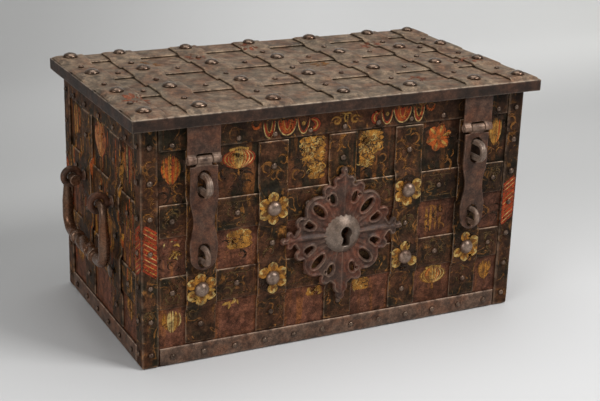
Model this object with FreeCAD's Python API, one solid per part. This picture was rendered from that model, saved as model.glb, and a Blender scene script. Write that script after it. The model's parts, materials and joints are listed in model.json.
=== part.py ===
import FreeCAD
import Part
import math
import os
from FreeCAD import Vector

os.makedirs("parts", exist_ok=True)

# Overall box, millimetres: X right, Y back, Z up, origin under the middle of the floor
BODY_W = 650.0
BODY_D = 367.0
BODY_TOP = 384.7

# Sheet and strap thicknesses
WALL_T = 3.0
FLOOR_T = 4.0
BAND_T = 5.0
STRAP_T = 4.0
CORNER_LEG = 28.0
TRIM_LIFT = 0.5
TRIM_DROP = 0.5

# Clearances
FIT_GAP = 0.3
HOLE_CLEAR = 0.1
PIN_CLEAR = 0.06
LID_GAP = 0.3
RAMP = 8.0

# Strap layout on the walls
STRAP_W = 50.0
HASP_INSET = 93.0
SIDE_UPRIGHT_Y = 68.0
BASE_BAND_H = 30.0
LOWER_STRAP_Z = 118.0
UPPER_STRAP_Z = 230.0
CROSS_W = 52.0
TOP_BAND_Z = 335.0
TOP_RIVET_Z = 345.0

# Rivets: head radius, head height, shank radius
DOME_R = 12.0
DOME_H = 9.0
DOME_SHANK = 4.0
BUTTON_R = 5.0
BUTTON_H = 3.4
BUTTON_SHANK = 2.5
BASE_RIVETS = 12
SIDE_BASE_RIVETS = 6
CORNER_RIVETS = 7
CORNER_RIVET_LOW = 23.0

# Lid
LID_OVER_SIDE = 16.0
LID_OVER_FRONT = 17.0
LID_OVER_BACK = 14.0
LID_PLATE_T = 4.0
RIM_T = 5.0
RIM_H = 12.0
LID_STRAP_W = 52.0
LID_ROW_PITCH = 58.0

# Catch frame inside the wall tops
FRAME_T = 4.0
FRAME_W = 22.0

# Escutcheon and keyhole boss
PLATE_T = 3.0
PLATE_R = 54.0
KEY_Z = 175.0
BOSS_R = 32.0
BOSS_H = 16.0
KEY_ROUND_R = 9.0
KEY_SLOT_W = 13.0
KEY_SLOT_H = 22.0

# Hasps
HASP_T = 5.0
HANGER_T = 4.0
HANGER_W = 52.0
HASP_AXIS_Z = 322.0
HASP_BARREL_R = 6.5
HASP_PIN_R = 3.0
HASP_KNUCKLE = 24.0
HASP_BOTTOM_Z = 152.0
HASP_TOP_W = 44.0
HASP_WAIST_W = 33.0
HASP_FOOT_W = 42.0

# Padlock staples: leg spacing, rod radius, reach of the loop centre in front of the wall
UPPER_STAPLE_Z = 285.0
UPPER_STAPLE_SPAN = 25.0
UPPER_STAPLE_ROD = 5.5
UPPER_STAPLE_REACH = 25.0
LOWER_STAPLE_Z = 175.0
LOWER_STAPLE_SPAN = 22.0
LOWER_STAPLE_ROD = 4.5
LOWER_STAPLE_REACH = 22.0
STAPLE_ROOM = 3.0
STAPLE_SIDE_ROOM = 4.5

# Bail handles
EYE_STAND = 22.0
EYE_RING_R = 12.5
EYE_ROD_R = 5.5
EYE_COLLAR_R = 9.5
EYE_COLLAR_T = 3.0
BAIL_ROD_R = 6.5
BAIL_ARM_Y = 92.0
BAIL_DROP = 93.0
BAIL_TOP_BEND = 14.0
BAIL_LOW_BEND = 24.0
BAIL_STUB = 18.0
BAIL_KNOB_R = 9.0
BAIL_KNOB_T = 6.0
GRIP_R = 12.0
GRIP_L = 92.0
GRIP_RING_T = 7.0

# Rear hinges
HINGE_X = 190.0
HINGE_W = 46.0
HINGE_LEAF_T = 4.0
HINGE_LEAF_H = 40.0
HINGE_BARREL_R = 6.5
HINGE_PIN_R = 3.0
HINGE_KNUCKLE = 16.0
HINGE_BACK = 8.5

# Lid lock
LOCK_PLATE_T = 5.0
LOCK_MARGIN_X = 15.0
LOCK_MARGIN_Y = 13.5
LOCK_PLATE_BACK = 85.0
BAR_T = 6.0
BAR_GAP = 0.5
BAR_HALF = 10.0
BOLT_HALF = 9.0
THROW = 14.0
BOLT_REST = 5.0
LEVER_T = 6.0
LEVER_W = 14.0
HUB_R = 11.0
STUD_R = 5.0
STUD_HEAD_R = 8.0
STUD_HEAD_T = 3.0
DRIVE_PIN_R = 3.5
SLOT_CLEAR = 0.35
CRANK_ARM = 34.0
FRONT_BOLT_X = 100.0
REV_ARM = 30.0
REV_BACK_INSET = 105.0
REV_FRONT_INSET = 75.0
GUIDE_L = 8.0
GUIDE_T = 4.0
GUIDE_FLOOR = 3.0
CROSSHEAD_INSET = 70.0
CROSSHEAD_W = 20.0

# Derived planes
WALL_X = BODY_W / 2 - BAND_T
WALL_Y = BODY_D / 2 - BAND_T
IN_X = WALL_X - WALL_T
IN_Y = WALL_Y - WALL_T
TRIM_TOP = BODY_TOP - TRIM_DROP
LID_UNDER = BODY_TOP + LID_GAP
LID_TOP = LID_UNDER + LID_PLATE_T
LID_X = BODY_W / 2 + LID_OVER_SIDE
LID_Y0 = -BODY_D / 2 - LID_OVER_FRONT
LID_Y1 = BODY_D / 2 + LID_OVER_BACK
HASP_X = BODY_W / 2 - HASP_INSET
UPRIGHT_PITCH = HASP_X / 2
FRONT_UPRIGHTS = [i * UPRIGHT_PITCH for i in range(-2, 3)]
SIDE_UPRIGHTS = [-SIDE_UPRIGHT_Y, SIDE_UPRIGHT_Y]
ROWS = [LOWER_STRAP_Z, UPPER_STRAP_Z]
HUMP = 2 * STRAP_T
open_x = IN_X - FRAME_W
open_y = IN_Y - FRAME_W
LOCK_PLATE_X = open_x - LOCK_MARGIN_X
LOCK_PLATE_FRONT = open_y - LOCK_MARGIN_Y
REV_BACK_X = REV_BACK_INSET - open_x
REV_FRONT_X = REV_FRONT_INSET - open_x
CROSSHEAD_X = open_x - CROSSHEAD_INSET


def box(x0, x1, y0, y1, z0, z1):
    return Part.makeBox(x1 - x0, y1 - y0, z1 - z0, Vector(x0, y0, z0))


def rod(radius, start, end):
    way = end - start
    return Part.makeCylinder(radius, way.Length, start, way)


def prism(points, way):
    corners = [Vector(*p) for p in points]
    return Part.Face(Part.makePolygon(corners + [corners[0]])).extrude(Vector(*way))


def fuse(shapes):
    if len(shapes) == 1:
        return shapes[0]
    return shapes[0].multiFuse(shapes[1:]).removeSplitter()


def moved(shape, x, y, z):
    copy = shape.copy()
    copy.translate(Vector(x, y, z))
    return copy


def turned(shape, angle, axis, centre):
    copy = shape.copy()
    copy.rotate(centre, axis, angle)
    return copy


def solids_of(shapes):
    found = []
    for shape in shapes:
        found.extend(shape.Solids)
    return found


def save(name, shapes):
    solids = solids_of(shapes)
    whole = solids[0] if len(solids) == 1 else Part.makeCompound(solids)
    whole.exportStep("parts/%s.step" % name)
    volume = sum(s.Volume for s in solids)
    valid = all(s.isValid() for s in solids)
    print("%-24s %3d solids %10.0f mm3 valid %s" % (name, len(solids), volume, valid))


# A face panel is drawn flat, u along X, v along Y and outward along Z, then stood on its wall
FACE_TURN = {"front": 0.0, "back": 180.0, "left": -90.0, "right": 90.0}


def on_face(shape, face):
    copy = shape.copy()
    copy.rotate(Vector(0, 0, 0), Vector(1, 0, 0), 90)
    offset = WALL_Y if face in ("front", "back") else WALL_X
    copy.translate(Vector(0, -offset, 0))
    copy.rotate(Vector(0, 0, 0), Vector(0, 0, 1), FACE_TURN[face])
    return copy


# A strap that lies on the sheet and steps up over each cross strap
def joggled(centre, width, start, end, rows, row_w):
    inner = []
    for row in sorted(rows):
        low = row - row_w / 2 - FIT_GAP
        high = row + row_w / 2 + FIT_GAP
        if low > start:
            inner.append((low - RAMP, 0.0))
            inner.append((low, STRAP_T))
        else:
            inner.append((start, STRAP_T))
        if high < end:
            inner.append((high, STRAP_T))
            inner.append((high + RAMP, 0.0))
        else:
            inner.append((end, STRAP_T))
    if inner[0][0] > start:
        inner.insert(0, (start, 0.0))
    if inner[-1][0] < end:
        inner.append((end, 0.0))
    outer = [(v, w + STRAP_T) for v, w in reversed(inner)]
    points = [(centre - width / 2, v, w) for v, w in inner + outer]
    return prism(points, (width, 0, 0))


# One rivet standing on its seat, with its shank down to the far side of the sheet
def rivet(u, v, seat, large, depth):
    head_r = DOME_R if large else BUTTON_R
    head_h = DOME_H if large else BUTTON_H
    shank = DOME_SHANK if large else BUTTON_SHANK
    sphere_r = (head_r ** 2 + head_h ** 2) / (2 * head_h)
    half = math.asin(min(1.0, head_r / sphere_r)) / 2
    mid = Vector(sphere_r * math.sin(half), 0, head_h - sphere_r + sphere_r * math.cos(half))
    base = Vector(head_r, 0, 0)
    top = Vector(0, 0, head_h)
    foot = -(seat + depth)
    edges = [Part.Arc(top, mid, base).toShape()]
    edges.append(Part.makeLine(base, Vector(shank, 0, 0)))
    edges.append(Part.makeLine(Vector(shank, 0, 0), Vector(shank, 0, foot)))
    edges.append(Part.makeLine(Vector(shank, 0, foot), Vector(0, 0, foot)))
    edges.append(Part.makeLine(Vector(0, 0, foot), top))
    profile = Part.Face(Part.Wire(edges))
    body = profile.revolve(Vector(0, 0, 0), Vector(0, 0, 1), 360)
    return moved(body, u, v, seat)


def rivet_hole(u, v, large, depth):
    shank = (DOME_SHANK if large else BUTTON_SHANK) + HOLE_CLEAR
    return rod(shank, Vector(u, v, -depth - 1), Vector(u, v, HUMP + 1))


def spread(low, high, count):
    return [low + (high - low) * i / (count - 1) for i in range(count)]


# All straps and rivets of one wall, as lists in the flat panel
def panel(half_u, uprights, base_count, skip, domes):
    edge = half_u - CORNER_LEG - FIT_GAP
    parts = {}
    parts["base"] = [box(-edge, edge, TRIM_LIFT, BASE_BAND_H, 0, BAND_T)]
    parts["top"] = [box(-edge, edge, TOP_BAND_Z, TRIM_TOP, 0, BAND_T)]
    parts["cross"] = []
    for row in ROWS:
        parts["cross"].append(box(-edge, edge, row - CROSS_W / 2, row + CROSS_W / 2, 0, STRAP_T))
    start = BASE_BAND_H + FIT_GAP
    end = TOP_BAND_Z - FIT_GAP
    parts["upright"] = [joggled(u, STRAP_W, start, end, ROWS, CROSS_W) for u in uprights]
    spots = []
    for u in uprights:
        for row in ROWS:
            spots.append((u, row, HUMP, (u, row) in domes))
        for low, high in ((BASE_BAND_H, ROWS[0]), (ROWS[0], ROWS[1]), (ROWS[1], TOP_BAND_Z)):
            top = high + CROSS_W / 2 if high == TOP_BAND_Z else high
            bottom = low - CROSS_W / 2 if low == BASE_BAND_H else low
            spots.append((u, (bottom + top) / 2, STRAP_T, False))
    stops = [-edge - STRAP_W / 2] + list(uprights) + [edge + STRAP_W / 2]
    for left, right in zip(stops[:-1], stops[1:]):
        for row in ROWS:
            spots.append(((left + right) / 2, row, STRAP_T, False))
        spots.append(((left + right) / 2, TOP_RIVET_Z, BAND_T, False))
    for u in uprights:
        spots.append((u, TOP_RIVET_Z, BAND_T, False))
    for u in spread(-edge + 20, edge - 20, base_count):
        spots.append((u, BASE_BAND_H / 2, BAND_T, False))
    for v in spread(CORNER_RIVET_LOW, TOP_RIVET_Z, CORNER_RIVETS):
        for side in (-1, 1):
            spots.append((side * (half_u - CORNER_LEG / 2), v, BAND_T, False))
    spots = [s for s in spots if not skip(s[0], s[1])]
    parts["holes"] = [rivet_hole(s[0], s[1], s[3], WALL_T) for s in spots]
    parts["large"] = [rivet(s[0], s[1], s[2], True, WALL_T) for s in spots if s[3]]
    parts["small"] = [rivet(s[0], s[1], s[2], False, WALL_T) for s in spots if not s[3]]
    return parts


# What the hasps, staples, escutcheon and eye bolts cover is left without rivets
def front_skip(u, v):
    under_hasp = abs(abs(u) - HASP_X) < STRAP_W / 2 and v > HASP_BOTTOM_Z
    under_plate = abs(u) < STRAP_W / 2 and abs(v - KEY_Z) < CROSS_W / 2 + abs(UPPER_STRAP_Z - KEY_Z)
    return under_hasp or under_plate


def side_skip(u, v):
    return abs(abs(u) - SIDE_UPRIGHT_Y) < STRAP_W / 2 and abs(v - UPPER_STRAP_Z) < CROSS_W / 2


def back_skip(u, v):
    return v == TOP_RIVET_Z and abs(abs(u) - HINGE_X) < HINGE_W / 2 + BUTTON_R


front_domes = [(u, row) for u in FRONT_UPRIGHTS for row in ROWS if u != 0]
back_domes = [(u, row) for u in FRONT_UPRIGHTS for row in ROWS]
side_domes = [(u, row) for u in SIDE_UPRIGHTS for row in ROWS]
panels = {
    "front": panel(BODY_W / 2, FRONT_UPRIGHTS, BASE_RIVETS, front_skip, front_domes),
    "back": panel(BODY_W / 2, FRONT_UPRIGHTS, BASE_RIVETS, back_skip, back_domes),
    "left": panel(BODY_D / 2, SIDE_UPRIGHTS, SIDE_BASE_RIVETS, side_skip, side_domes),
    "right": panel(BODY_D / 2, SIDE_UPRIGHTS, SIDE_BASE_RIVETS, side_skip, side_domes),
}
for face in panels:
    panels[face] = {k: [on_face(s, face) for s in v] for k, v in panels[face].items()}

# Staples: a rod bent into a loop, both legs through strap and wall
def staple_path(z, span, reach):
    inner = -IN_Y
    outer = -WALL_Y - reach
    high = z + span / 2
    low = z - span / 2
    edges = [Part.makeLine(Vector(0, inner, high), Vector(0, outer, high))]
    tip = Vector(0, outer - span / 2, z)
    edges.append(Part.Arc(Vector(0, outer, high), tip, Vector(0, outer, low)).toShape())
    edges.append(Part.makeLine(Vector(0, outer, low), Vector(0, inner, low)))
    return Part.Wire(edges)


def staple(x, z, span, radius, reach):
    path = staple_path(z, span, reach)
    ring = Part.makeCircle(radius, Vector(0, -IN_Y, z + span / 2), Vector(0, 1, 0))
    body = path.makePipeShell([Part.Wire(ring)], True, True)
    return moved(body, x, 0, 0)


def staple_holes(x, z, span, radius):
    tools = []
    for side in (-1, 1):
        level = z + side * span / 2
        start = Vector(x, -IN_Y + 1, level)
        tools.append(rod(radius + HOLE_CLEAR, start, Vector(x, -WALL_Y - HUMP - 1, level)))
    return tools


upper_staples = []
lower_staples = []
front_holes = list(panels["front"]["holes"])
for side in (-1, 1):
    x = side * HASP_X
    upper_staples.append(staple(x, UPPER_STAPLE_Z, UPPER_STAPLE_SPAN, UPPER_STAPLE_ROD, UPPER_STAPLE_REACH))
    lower_staples.append(staple(x, LOWER_STAPLE_Z, LOWER_STAPLE_SPAN, LOWER_STAPLE_ROD, LOWER_STAPLE_REACH))
    front_holes += staple_holes(x, UPPER_STAPLE_Z, UPPER_STAPLE_SPAN, UPPER_STAPLE_ROD)
    front_holes += staple_holes(x, LOWER_STAPLE_Z, LOWER_STAPLE_SPAN, LOWER_STAPLE_ROD)

# Eye bolts: shank through the upright strap, collar, and a ring whose axis runs along Y
EYE_X = WALL_X + HUMP + EYE_STAND


def eye_bolt(side, y):
    z = UPPER_STRAP_Z
    ring = Part.makeTorus(EYE_RING_R, EYE_ROD_R, Vector(side * EYE_X, y, z), Vector(0, 1, 0))
    shank_end = Vector(side * (EYE_X - EYE_RING_R), y, z)
    shank = rod(EYE_ROD_R, Vector(side * IN_X, y, z), shank_end)
    seat = Vector(side * (WALL_X + HUMP), y, z)
    collar = rod(EYE_COLLAR_R, seat, seat + Vector(side * EYE_COLLAR_T, 0, 0))
    return fuse([ring, shank, collar])


def eye_hole(side, y):
    z = UPPER_STRAP_Z
    start = Vector(side * (IN_X - 1), y, z)
    return rod(EYE_ROD_R + HOLE_CLEAR, start, Vector(side * (WALL_X + HUMP + 1), y, z))


side_holes = {}
eye_bolts = {}
for name, side in (("left", -1), ("right", 1)):
    side_holes[name] = panels[name]["holes"] + [eye_hole(side, y) for y in SIDE_UPRIGHTS]
    eye_bolts[name] = [eye_bolt(side, y) for y in SIDE_UPRIGHTS]
holes = {"front": front_holes, "back": panels["back"]["holes"]}
holes.update(side_holes)


def drilled(shapes, tools):
    done = []
    for shape in shapes:
        near = [t for t in tools if t.BoundBox.intersect(shape.BoundBox)]
        done.append(shape.cut(near) if near else shape)
    return done


# Walls, floor and the frame that the lid bolts catch under
walls = {
    "front": box(-WALL_X, WALL_X, -WALL_Y, -IN_Y, 0, BODY_TOP),
    "back": box(-WALL_X, WALL_X, IN_Y, WALL_Y, 0, BODY_TOP),
    "left": box(-WALL_X, -IN_X, -IN_Y, IN_Y, 0, BODY_TOP),
    "right": box(IN_X, WALL_X, -IN_Y, IN_Y, 0, BODY_TOP),
}
save("floor_plate", [box(-IN_X, IN_X, -IN_Y, IN_Y, 0, FLOOR_T)])
for face in walls:
    save(face + "_wall", drilled([walls[face]], holes[face]))
frame_low = BODY_TOP - FRAME_T
frame_bars = []
for side in (-1, 1):
    y0, y1 = sorted((side * open_y, side * IN_Y))
    frame_bars.append(box(-IN_X, IN_X, y0, y1, frame_low, BODY_TOP))
    x0, x1 = sorted((side * open_x, side * IN_X))
    frame_bars.append(box(x0, x1, -open_y, open_y, frame_low, BODY_TOP))
save("catch_frame", frame_bars)

# Corner angles, one leg on each of two walls
corners = []
all_holes = holes["front"] + holes["back"] + holes["left"] + holes["right"]
for sx in (-1, 1):
    for sy in (-1, 1):
        ox = BODY_W / 2
        oy = BODY_D / 2
        leg_a = box(ox - CORNER_LEG, ox, oy - BAND_T, oy, TRIM_LIFT, TRIM_TOP)
        leg_b = box(ox - BAND_T, ox, oy - CORNER_LEG, oy, TRIM_LIFT, TRIM_TOP)
        angle = fuse([leg_a, leg_b])
        if sx < 0:
            angle = angle.mirror(Vector(0, 0, 0), Vector(1, 0, 0))
        if sy < 0:
            angle = angle.mirror(Vector(0, 0, 0), Vector(0, 1, 0))
        corners.append(angle)
save("corner_angles", drilled(corners, all_holes))

# Bands and straps of each wall
FACES = ("front", "back", "left", "right")
save("top_bands", [drilled(panels[f]["top"], holes[f])[0] for f in FACES])
save("base_bands", [drilled(panels[f]["base"], holes[f])[0] for f in FACES])
front_cross = drilled(panels["front"]["cross"], holes["front"])
save("front_lower_strap", [front_cross[0]])
save("front_upper_strap", [front_cross[1]])
for face in FACES:
    save(face + "_upright_straps", drilled(panels[face]["upright"], holes[face]))
for face in ("back", "left", "right"):
    save(face + "_cross_straps", drilled(panels[face]["cross"], holes[face]))
save("rosette_rivets", panels["front"]["large"])
save("front_rivets", panels["front"]["small"])
for face in ("back", "left", "right"):
    save(face + "_rivets", panels[face]["large"] + panels[face]["small"])
save("upper_staples", upper_staples)
save("lower_staples", lower_staples)
save("left_eye_bolts", eye_bolts["left"])
save("right_eye_bolts", eye_bolts["right"])

# Escutcheon: a lobed plate of overlapping round lobes, pierced between them
PLATE_LOW = HUMP


def disc(u, v, radius, low, thick):
    return Part.makeCylinder(radius, thick, Vector(u, v, low))


def oval(u, v, long_r, short_r, angle, low, thick):
    curve = Part.Ellipse(Vector(0, 0, 0), long_r, short_r).toShape()
    body = Part.Face(Part.Wire(curve)).extrude(Vector(0, 0, thick))
    body = turned(body, angle, Vector(0, 0, 1), Vector(0, 0, 0))
    return moved(body, u, v, low)


lobe_unit = PLATE_R / 54
lobes = [disc(0, 0, PLATE_R, PLATE_LOW, PLATE_T)]
lobe_plan = [(0, 62, 25), (0, -62, 25), (-60, 0, 23), (60, 0, 23)]
lobe_plan += [(0, 90, 9), (-11, 85, 8), (11, 85, 8), (0, 102, 6)]
lobe_plan += [(0, -88, 13), (0, -103, 8)]
for side in (-1, 1):
    lobe_plan += [(side * 86, 0, 9), (side * 90, 9, 6), (side * 90, -9, 6), (side * 100, 0, 6)]
    for up in (-1, 1):
        lobe_plan += [(side * 43, up * 43, 23), (side * 27, up * 72, 10), (side * 71, up * 26, 10)]
for u, v, radius in lobe_plan:
    lobes.append(disc(u * lobe_unit, v * lobe_unit, radius * lobe_unit, PLATE_LOW, PLATE_T))
plate = fuse(lobes)
piercings = []
for side in (-1, 1):
    for up in (-1, 1):
        for u, v, long_r, short_r, angle in ((41, 41, 13, 5.5, 45), (19, 58, 8, 4, 72), (57, 19, 8, 4, 18)):
            place = (side * u * lobe_unit, up * v * lobe_unit)
            radii = (long_r * lobe_unit, short_r * lobe_unit)
            piercings.append(oval(*place, *radii, angle * side * up, 0, PLATE_LOW + 2 * PLATE_T))
plate = plate.cut(piercings)


def keyhole(low, thick):
    round_end = disc(0, 5, KEY_ROUND_R, low, thick)
    half = KEY_SLOT_W / 2
    slot = prism([(-half * 0.7, 5, low), (half * 0.7, 5, low), (half, 5 - KEY_SLOT_H, low),
                  (-half, 5 - KEY_SLOT_H, low)], (0, 0, thick))
    return fuse([round_end, slot])


boss_sphere = (BOSS_R ** 2 + BOSS_H ** 2) / (2 * BOSS_H)
boss_low = PLATE_LOW + PLATE_T
cap = Part.makeSphere(boss_sphere, Vector(0, 0, boss_low + BOSS_H - boss_sphere))
cap = cap.common(box(-BOSS_R * 2, BOSS_R * 2, -BOSS_R * 2, BOSS_R * 2, boss_low, boss_low + BOSS_H))
boss = cap.cut(keyhole(boss_low - 1, BOSS_H + 2))
plate = plate.cut(keyhole(0, PLATE_LOW + 2 * PLATE_T))
save("escutcheon", [on_face(moved(plate, 0, KEY_Z, 0), "front")])
save("keyhole_boss", [on_face(moved(boss, 0, KEY_Z, 0), "front")])

# Rear hinges
AXIS_Y = BODY_D / 2 + HINGE_BACK
AXIS_Z = LID_UNDER - HINGE_BARREL_R - 1.0
wall_leaves = []
lid_leaves = []
hinge_pins = []
for side in (-1, 1):
    x = side * HINGE_X
    left = x - HINGE_W / 2
    right = x + HINGE_W / 2
    gap_l = x - HINGE_KNUCKLE / 2 - FIT_GAP
    gap_r = x + HINGE_KNUCKLE / 2 + FIT_GAP
    y0 = BODY_D / 2
    leaf = box(left, right, y0, y0 + HINGE_LEAF_T, AXIS_Z - HINGE_LEAF_H, AXIS_Z)
    barrel = rod(HINGE_BARREL_R, Vector(left, AXIS_Y, AXIS_Z), Vector(right, AXIS_Y, AXIS_Z))
    reach = HINGE_BARREL_R + FIT_GAP
    room = box(gap_l, gap_r, y0 - 1, AXIS_Y + 20, AXIS_Z - reach, AXIS_Z + 20)
    bore = rod(HINGE_PIN_R, Vector(left - 1, AXIS_Y, AXIS_Z), Vector(right + 1, AXIS_Y, AXIS_Z))
    wall_leaves.append(fuse([leaf, barrel]).cut([room, bore]))
    hinge_pins.append(rod(HINGE_PIN_R, Vector(left, AXIS_Y, AXIS_Z), Vector(right, AXIS_Y, AXIS_Z)))
    knuckle_l = x - HINGE_KNUCKLE / 2
    knuckle_r = x + HINGE_KNUCKLE / 2
    knuckle = rod(HINGE_BARREL_R, Vector(knuckle_l, AXIS_Y, AXIS_Z), Vector(knuckle_r, AXIS_Y, AXIS_Z))
    riser = box(knuckle_l, knuckle_r, AXIS_Y - HINGE_LEAF_T, AXIS_Y + HINGE_LEAF_T, AXIS_Z, LID_UNDER)
    eye = rod(HINGE_PIN_R + PIN_CLEAR, Vector(left, AXIS_Y, AXIS_Z), Vector(right, AXIS_Y, AXIS_Z))
    lid_leaves.append(fuse([knuckle, riser]).cut(eye))
save("hinge_wall_leaves", wall_leaves)
save("hinge_pins", hinge_pins)
save("hinge_lid_leaves", lid_leaves)

# Lid plate, rims and woven straps
half_row = LID_STRAP_W / 2
LID_ROWS = [LID_Y0 + half_row, -LID_ROW_PITCH, LID_ROW_PITCH, LID_Y1 - half_row]
END_X = LID_X - half_row
LID_COLUMNS = FRONT_UPRIGHTS
lid_spots = []
for x in [-END_X] + LID_COLUMNS + [END_X]:
    for y in LID_ROWS:
        lid_spots.append((x, y, HUMP, True))
    for y0, y1 in zip(LID_ROWS[:-1], LID_ROWS[1:]):
        lid_spots.append((x, (y0 + y1) / 2, STRAP_T, False))
lid_stops = [-END_X] + LID_COLUMNS + [END_X]
for x0, x1 in zip(lid_stops[:-1], lid_stops[1:]):
    for y in LID_ROWS[1:3]:
        lid_spots.append(((x0 + x1) / 2, y, STRAP_T, False))


def on_lid(shapes):
    return [moved(s, 0, 0, LID_TOP) for s in shapes]


lid_holes = on_lid([rivet_hole(s[0], s[1], s[3], LID_PLATE_T) for s in lid_spots])
lid_plate = box(-LID_X, LID_X, LID_Y0, LID_Y1, LID_UNDER, LID_TOP)
save("lid_plate", drilled([lid_plate], lid_holes))
rim_low = LID_UNDER - RIM_H
save("lid_front_rim", [box(-LID_X, LID_X, LID_Y0, LID_Y0 + RIM_T, rim_low, LID_UNDER)])
rim_back = LID_Y1
save("lid_left_rim", [box(-LID_X, -LID_X + RIM_T, LID_Y0 + RIM_T, rim_back, rim_low, LID_UNDER)])
save("lid_right_rim", [box(LID_X - RIM_T, LID_X, LID_Y0 + RIM_T, rim_back, rim_low, LID_UNDER)])
lid_cross = [box(-LID_X, LID_X, y - half_row, y + half_row, 0, STRAP_T) for y in LID_ROWS]
lid_depth = [joggled(x, LID_STRAP_W, LID_Y0, LID_Y1, LID_ROWS, LID_STRAP_W) for x in LID_COLUMNS]
lid_ends = [joggled(x, LID_STRAP_W, LID_Y0, LID_Y1, LID_ROWS, LID_STRAP_W) for x in (-END_X, END_X)]
save("lid_cross_straps", drilled(on_lid(lid_cross), lid_holes))
save("lid_depth_straps", drilled(on_lid(lid_depth), lid_holes))
save("lid_end_straps", drilled(on_lid(lid_ends), lid_holes))
save("lid_dome_rivets", on_lid([rivet(s[0], s[1], s[2], True, LID_PLATE_T) for s in lid_spots if s[3]]))
save("lid_rivets", on_lid([rivet(s[0], s[1], s[2], False, LID_PLATE_T) for s in lid_spots if not s[3]]))

# Hasps: a hanger leaf behind the lid's front rim, a pin, and the slotted hasp plate
HASP_Y = LID_Y0 + RIM_T + HANGER_T / 2


def slot_tool(z, half_h, half_w):
    y0 = HASP_Y - HASP_T
    y1 = HASP_Y + HASP_T
    straight = half_h - half_w
    body = box(-half_w, half_w, y0, y1, z - straight, z + straight)
    ends = []
    for end in (-1, 1):
        level = z + end * straight
        ends.append(rod(half_w, Vector(0, y0, level), Vector(0, y1, level)))
    return fuse([body] + ends)


def hasp_outline():
    top_z = HASP_AXIS_Z - HASP_BARREL_R - 3
    heights = [top_z, UPPER_STAPLE_Z - 6, UPPER_STAPLE_Z - 26, UPPER_STRAP_Z, LOWER_STAPLE_Z + 26, LOWER_STAPLE_Z]
    halves = [HASP_TOP_W, HASP_TOP_W, HASP_TOP_W, HASP_WAIST_W, HASP_FOOT_W, HASP_FOOT_W]
    back = HASP_Y - HASP_T / 2
    right = [Vector(w / 2, back, z) for w, z in zip(halves, heights)]
    left = [Vector(-p.x, p.y, p.z) for p in right]
    curve_r = Part.BSplineCurve()
    curve_r.interpolate(right)
    curve_l = Part.BSplineCurve()
    curve_l.interpolate(list(reversed(left)))
    tip = Vector(0, back, HASP_BOTTOM_Z)
    foot = Part.Arc(right[-1], tip, left[-1]).toShape()
    head = Part.makeLine(left[0], right[0])
    wire = Part.Wire([curve_r.toShape(), foot, curve_l.toShape(), head])
    return Part.Face(wire).extrude(Vector(0, HASP_T, 0))


hangers = []
hasp_pins = []
hasps = {}
half_hang = HANGER_W / 2
for name, side in (("left", -1), ("right", 1)):
    x = side * HASP_X
    leaf_y0 = LID_Y0 + RIM_T
    leaf = box(-half_hang, half_hang, leaf_y0, leaf_y0 + HANGER_T, HASP_AXIS_Z, LID_UNDER)
    start = Vector(-half_hang, HASP_Y, HASP_AXIS_Z)
    end = Vector(half_hang, HASP_Y, HASP_AXIS_Z)
    barrel = rod(HASP_BARREL_R, start, end)
    half_k = HASP_KNUCKLE / 2
    reach = HASP_BARREL_R + FIT_GAP + 2
    room = box(-half_k - FIT_GAP, half_k + FIT_GAP, HASP_Y - 30, HASP_Y + 30, 0, HASP_AXIS_Z + reach)
    hanger = fuse([leaf, barrel]).cut([room, rod(HASP_PIN_R, start, end)])
    hangers.append(moved(hanger, x, 0, 0))
    hasp_pins.append(moved(rod(HASP_PIN_R, start, end), x, 0, 0))
    k_start = Vector(-half_k, HASP_Y, HASP_AXIS_Z)
    k_end = Vector(half_k, HASP_Y, HASP_AXIS_Z)
    knuckle = rod(HASP_BARREL_R, k_start, k_end)
    neck_low = HASP_AXIS_Z - HASP_BARREL_R - 6
    neck = box(-half_k, half_k, HASP_Y - HASP_T / 2, HASP_Y + HASP_T / 2, neck_low, HASP_AXIS_Z)
    hasp = fuse([hasp_outline(), neck, knuckle])
    upper_h = UPPER_STAPLE_SPAN / 2 + UPPER_STAPLE_ROD + STAPLE_ROOM
    lower_h = LOWER_STAPLE_SPAN / 2 + LOWER_STAPLE_ROD + STAPLE_ROOM
    tools = [slot_tool(UPPER_STAPLE_Z, upper_h, UPPER_STAPLE_ROD + STAPLE_SIDE_ROOM)]
    tools.append(slot_tool(LOWER_STAPLE_Z, lower_h, LOWER_STAPLE_ROD + STAPLE_SIDE_ROOM))
    tools.append(rod(HASP_PIN_R + PIN_CLEAR, start, end))
    hasps[name] = moved(hasp.cut(tools), x, 0, 0)
save("hasp_hangers", hangers)
save("hasp_pins", hasp_pins)
save("hasp_left", [hasps["left"]])
save("hasp_right", [hasps["right"]])

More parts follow.
